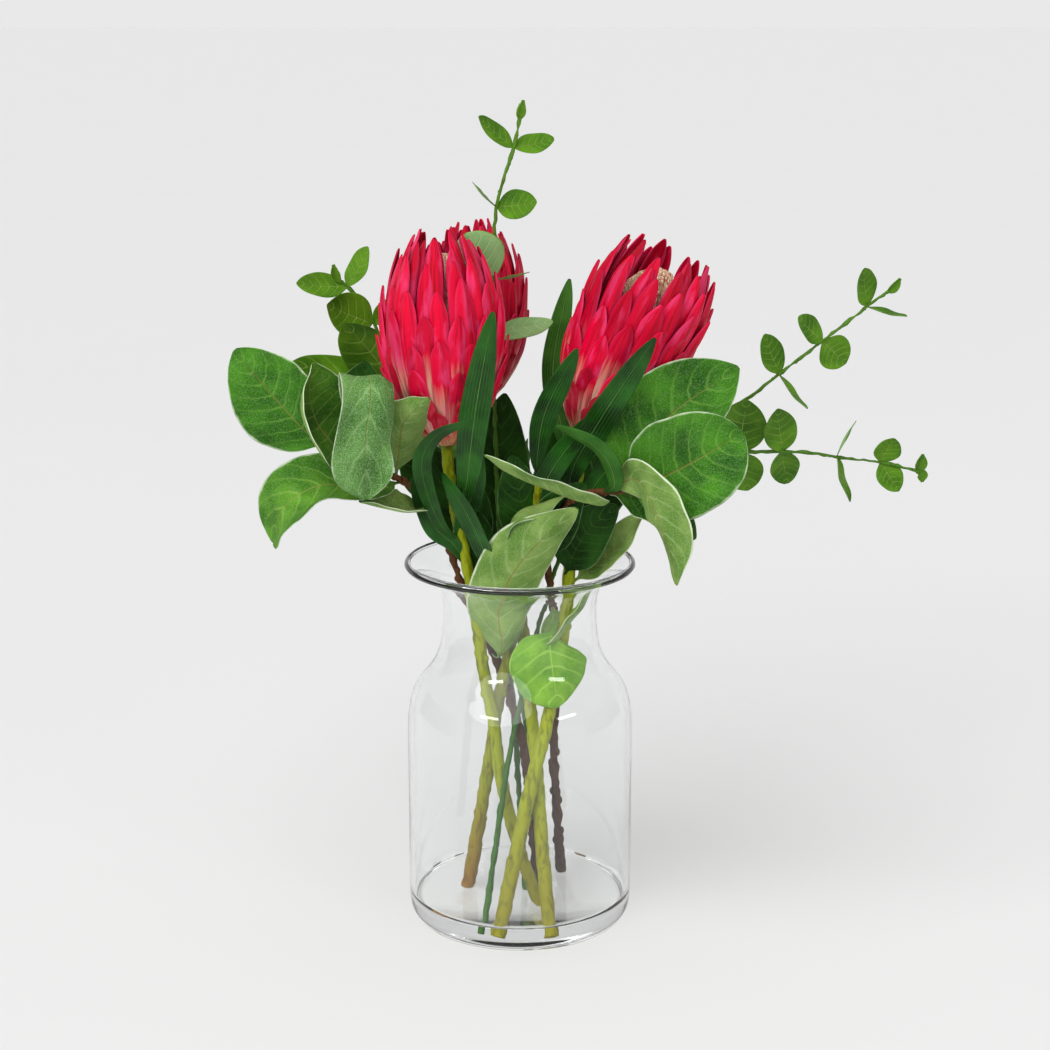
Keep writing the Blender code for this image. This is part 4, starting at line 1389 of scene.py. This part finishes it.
@dataclass
class Bloom:
    """A protea head: its foot, top and greatest radius in millimetres, and the CAD nodes it stands for.

    spin turns its whorls, in radians, and crown opens or closes its top, as a share of its radius.
    """

    name: str
    base: Point
    top: Point
    radius: float
    spin: float
    parts: tuple[str, ...]
    crown: float = 0.0
    draw: random.Random = field(init=False)
    height: float = field(init=False)
    turn: Matrix = field(init=False)

    def __post_init__(self) -> None:
        """Works out the bloom's own axes and its random numbers."""
        self.draw = random.Random(self.name)
        axis = Vector(self.top) - Vector(self.base)
        self.height = axis.length
        self.turn = axis.to_track_quat("Z", "Y").to_matrix()

    def put(self, angle: float, radius: float, level: float) -> Vector:
        """A point of the bloom in the frame, from its angle, radius and level in millimetres."""
        local = Vector((radius * math.cos(angle), radius * math.sin(angle), level))
        return self.turn @ local + Vector(self.base)

    def build(self) -> None:
        """Builds the bracts whorl by whorl, then the woolly middle."""
        made: dict[str, list[bpy.types.Object]] = {}
        for number, row in enumerate(BLOOM_ROWS):
            part = row.part if row.part in self.parts else "inner"
            for i in range(row.count):
                made.setdefault(part, []).append(self.bract(row, number, i))
        for part, bracts in made.items():
            name = f"{self.name}_{part}_bracts"
            hand_over(join(bracts, name), [name])
        self.core()

    def bract(self, row: Row, number: int, index: int) -> bpy.types.Object:
        """One bract, laid on the bloom's outline and bent round it.

        Args:
            row: The whorl that it belongs to.
            number: The whorl's number.
            index: Its place in the whorl.

        Returns:
            The bract.
        """
        draw = self.draw
        middle = self.spin + 2 * math.pi * (index + 0.5 * (number % 2) + draw.uniform(-0.15, 0.15)) / row.count
        high = row.high + draw.uniform(-0.045, 0.025)
        inset = row.inset + draw.uniform(-0.5, 0.5) + 0.8 * (index % 2)
        width = row.width * draw.uniform(0.95, 1.2) * self.radius / 34
        lean = draw.uniform(-0.08, 0.08)
        flare = row.flare * draw.uniform(-0.2, 1.2)
        keel = draw.uniform(0.8, 1.6)
        seed = draw.uniform(0, 50)

        def place(share: float, side: float, _: int) -> Vector:
            """Where a point of the bract lies, from its share along and its side."""
            level = row.low + (high - row.low) * share
            open_top = self.crown * max(0.0, level - 0.6) / 0.4
            radius = self.radius * (interpolate(BLOOM_OUTLINE, level) + open_top) - inset
            radius += flare * share**4 + 0.9 * noise.noise(Vector((share * 3, side, seed)))
            half = width / 2 * (0.62 + 0.38 * math.sin(math.pi * min(1, share * 0.9 + 0.08)))
            # The last fifth narrows to the tip
            half *= min(1.0, (1 - share) * 5.4) ** 0.5
            half = max(half, 0.5)
            angle = middle + (half * side) / max(radius + 3, 6) + lean * share
            ridge = keel * (1 - abs(side) ** 1.4) * (1 - share * 0.4)
            curl_in = -1.3 * side * side * (half / 6) ** 2
            return self.put(angle, radius + ridge + curl_in, level * self.height)

        finish = row.finish
        name = f"{self.name}_{number}_{index}"
        obj = grid_blade(name, 12, 6, place, finish, finish, 0.7)
        tint = obj.data.attributes.new("tint", "FLOAT", "POINT")
        value = draw.random()
        tint.data.foreach_set("value", [value] * len(obj.data.vertices))
        return obj

    def core(self) -> None:
        """The woolly middle: a swollen spindle whose surface is broken into tufts."""
        deselect()
        bpy.ops.mesh.primitive_uv_sphere_add(segments=48, ring_count=40, radius=1, location=(0, 0, 0))
        core = bpy.context.active_object
        low = 0.10 * self.height
        high = 0.90 * self.height
        for vert in core.data.vertices:
            share = (vert.co.z + 1) / 2
            level = low + (high - low) * share
            ring = math.hypot(vert.co.x, vert.co.y)
            angle = math.atan2(vert.co.y, vert.co.x)
            groove = 0.9 + 0.1 * math.sin(14 * angle + 3 * share)
            vert.co = self.put(angle, 0.60 * self.radius * ring * groove, level) * MM
        core.data.materials.append(Finish.WOOL.material())
        displace_by_clouds(core, f"{self.name}_tufts", 4.0, 2.0)
        core.name = f"{self.name}_wool"
        core.data.name = core.name
        smooth(core, 60)
        hand_over(core, [f"{self.name}_core"])


BLOOMS: tuple[Bloom, ...] = (
    Bloom("left_bloom", (-38, -24, 273), (-41, -28, 383), 35, 0.4, ("outer", "middle", "inner"), -0.08),
    Bloom("right_bloom", (36, -4, 273), (79, -18, 372), 36, 1.1, ("outer", "middle", "inner"), 0.22),
    Bloom("back_bloom", (-23, 40, 284), (-24, 41, 381), 29, 0.2, ("outer", "inner")),
)


# ---------------------------------------------------------------- vase


@dataclass(frozen=True)
class Vase:
    """The blown glass vase with the clear layer set on its floor; heights and radii in millimetres."""

    # Height and radius down the outside, from the lip to the foot
    outer: tuple[tuple[float, float], ...] = (
        (203.4, 61.6),
        (202.6, 62.3),
        (201.4, 62.5),
        (200.2, 61.8),
        (198.6, 57.6),
        (196.4, 52.0),
        (193.6, 47.4),
        (190.0, 44.0),
        (185.0, 42.3),
        (178.0, 41.5),
        (170.0, 41.7),
        (162.0, 42.4),
        (155.0, 43.6),
        (149.0, 45.8),
        (144.0, 48.6),
        (139.5, 52.2),
        (135.0, 55.8),
        (130.0, 58.5),
        (124.0, 60.3),
        (116.0, 61.4),
        (105.0, 61.8),
        (99.0, 61.8),
        (22.0, 61.8),
        (17.0, 61.8),
        (13.0, 61.8),
        (7.0, 61.2),
        (3.2, 59.6),
        (1.0, 57.6),
        (0.0, 55.0),
    )
    wall: float = 2.9
    layer_top: float = 13.5
    steps: int = 144

    def inside(self) -> list[tuple[float, float]]:
        """The inner wall, one wall thickness inside the outer one.

        Returns:
            Height and radius from the set layer up to the lip.
        """
        profile = [row for row in self.outer[::-1] if row[0] > self.layer_top - 1]
        wall = []
        for i, (height, radius) in enumerate(profile):
            h0, r0 = profile[max(i - 1, 0)]
            h1, r1 = profile[min(i + 1, len(profile) - 1)]
            length = math.hypot(h1 - h0, r1 - r0)
            wall.append((height + self.wall * (r1 - r0) / length, radius - self.wall * (h1 - h0) / length))
        return [row for row in wall if row[0] < self.outer[0][0]]

    def build(self) -> None:
        """Turns the vase and dresses it as glass."""
        walls = self.inside()
        radius = walls[0][1]
        meniscus = [(self.layer_top, 0.0), (self.layer_top, radius - 4), (self.layer_top + 0.5, radius - 1)]
        profile = [*meniscus, (self.layer_top + 2.0, radius), *walls[1:], (203.9, 60.6), *self.outer, (0.0, 0.0)]
        mesh = bpy.data.meshes.new("vase_glass")
        points = [(r * MM, 0, h * MM) for h, r in profile]
        mesh.from_pydata(points, [(i, i + 1) for i in range(len(points) - 1)], [])
        vase = bpy.data.objects.new("vase_glass", mesh)
        bpy.context.scene.collection.objects.link(vase)
        pick(vase)
        bpy.ops.object.mode_set(mode="EDIT")
        bpy.ops.mesh.select_all(action="SELECT")
        bpy.ops.mesh.spin(steps=self.steps, angle=2 * math.pi, center=(0, 0, 0), axis=(0, 0, 1))
        bpy.ops.object.mode_set(mode="OBJECT")
        weld(vase)
        vase.data.materials.append(Finish.GLASS.material())
        smooth(vase, 35)
        # Clear glass lets the light through to the stems and the floor
        vase.visible_shadow = False
        vase.visible_diffuse = False
        hand_over(vase, ["glass_vase", "clear_set_layer"])


# ---------------------------------------------------------------- studio


@dataclass(frozen=True)
class Studio:
    """The pale floor, the soft lights and the camera; places in metres, angles in degrees, lens in millimetres."""

    aim: Point = (0.0, 0.0, 0.22)
    key_place: Point = (-0.6, -1.1, 1.6)
    key_energy: float = 2.38
    key_angle: float = 60
    strips: tuple[tuple[str, Point, float], ...] = (
        ("left_strip", (-0.9, -1.3, 1.1), 3.0),
        ("right_strip", (1.2, -0.9, 0.9), 2.0),
    )
    strip_size: tuple[float, float] = (0.6, 0.16)
    horizon: int = 0xE9E9E9
    zenith: int = 0xC4C4C4
    card_place: float = 0.75
    lens: float = 71.8
    camera_place: Point = (0.0028, -1.096, 0.492)
    camera_tilt: float = 13.82

    def build(self) -> None:
        """Sets up everything that isn't the object."""
        self.floor()
        self.cards()
        self.lights()
        self.world()
        self.camera()

    def floor(self) -> None:
        """A wide matte floor just under the foot."""
        deselect()
        bpy.ops.mesh.primitive_plane_add(size=120, location=(0, 0, -0.0002))
        floor = bpy.context.active_object
        floor.name = "floor"
        g = Graph("matte_studio_floor")
        place = g.add("ShaderNodeTexCoord").outputs["Object"]
        grain = g.add("ShaderNodeTexNoise", {"Vector": place, "Scale": 3.0}).outputs["Fac"]
        g.dress(0.9, g.mix(grain, 0xDCDCDC, 0xDEDEDE))
        floor.data.materials.append(g.material)

    def cards(self) -> None:
        """Grey cards beside the camera's view, which draw the edges of clear glass."""
        g = Graph("grey_card")
        g.dress(0.9, linear(0xBCBCBC))
        for name, x in (("left_card", -self.card_place), ("right_card", self.card_place)):
            deselect()
            bpy.ops.mesh.primitive_cube_add(size=1, location=(0, 0, 0))
            card = bpy.context.active_object
            card.name = name
            for vert in card.data.vertices:
                vert.co = (x + vert.co.x * 0.01, 0.1 + vert.co.y * 0.8, 0.2 + vert.co.z * 0.34)
            card.data.materials.append(g.material)
            card.visible_camera = False
            card.visible_diffuse = False
            card.visible_shadow = False

    def lights(self) -> None:
        """A broad soft key from the upper left and two strips that also glint in the glass."""
        key = bpy.data.lights.new("soft_key", "SUN")
        key.energy = self.key_energy
        key.angle = math.radians(self.key_angle)
        lamps = [(key, self.key_place)]
        for name, place, power in self.strips:
            strip = bpy.data.lights.new(name, "AREA")
            strip.shape = "RECTANGLE"
            strip.size, strip.size_y = self.strip_size
            strip.energy = power
            lamps.append((strip, place))
        for light, place in lamps:
            lamp = bpy.data.objects.new(light.name, light)
            bpy.context.scene.collection.objects.link(lamp)
            lamp.location = place
            # The key would show in the glass as one big white patch
            lamp.visible_glossy = light != key
            aim = Vector(self.aim) - Vector(place)
            lamp.rotation_euler = aim.to_track_quat("-Z", "Y").to_euler()

    def world(self) -> None:
        """A soft sky, greyer towards the horizon so that clear glass gets visible edges."""
        world = bpy.data.worlds.new("studio_sky")
        bpy.context.scene.world = world
        world.use_nodes = True
        tree = world.node_tree
        background = tree.nodes["Background"]
        spot = tree.nodes.new("ShaderNodeTexCoord")
        axes = tree.nodes.new("ShaderNodeSeparateXYZ")
        ramp = tree.nodes.new("ShaderNodeValToRGB")
        tree.links.new(spot.outputs["Generated"], axes.inputs[0])
        tree.links.new(axes.outputs["Z"], ramp.inputs[0])
        tree.links.new(ramp.outputs[0], background.inputs["Color"])
        for element, height, colour in zip(ramp.color_ramp.elements, (0.03, 0.4), (self.horizon, self.zenith)):
            element.position = height
            element.color = linear(colour)
        background.inputs["Strength"].default_value = 1.0
        bpy.context.scene.view_settings.view_transform = "Standard"

    def camera(self) -> None:
        """A long lens a little above the flowers, tilted down."""
        data = bpy.data.cameras.new("camera")
        data.lens = self.lens
        data.sensor_width = 36
        camera = bpy.data.objects.new("camera", data)
        bpy.context.scene.collection.objects.link(camera)
        camera.location = self.camera_place
        camera.rotation_euler = (math.radians(90 - self.camera_tilt), 0, 0)
        bpy.context.scene.camera = camera


def main() -> None:
    """Builds the arrangement, then the studio round it."""
    logging.basicConfig(level=logging.INFO, format="%(name)s: %(message)s")
    Studio().build()
    Vase().build()
    for piece in (*STEMS, *BLOOMS, *BRANCH_LEAVES, *FILL_LEAVES, *BUDS, *PAIRS):
        piece.build()


if __name__ == "__main__":
    main()
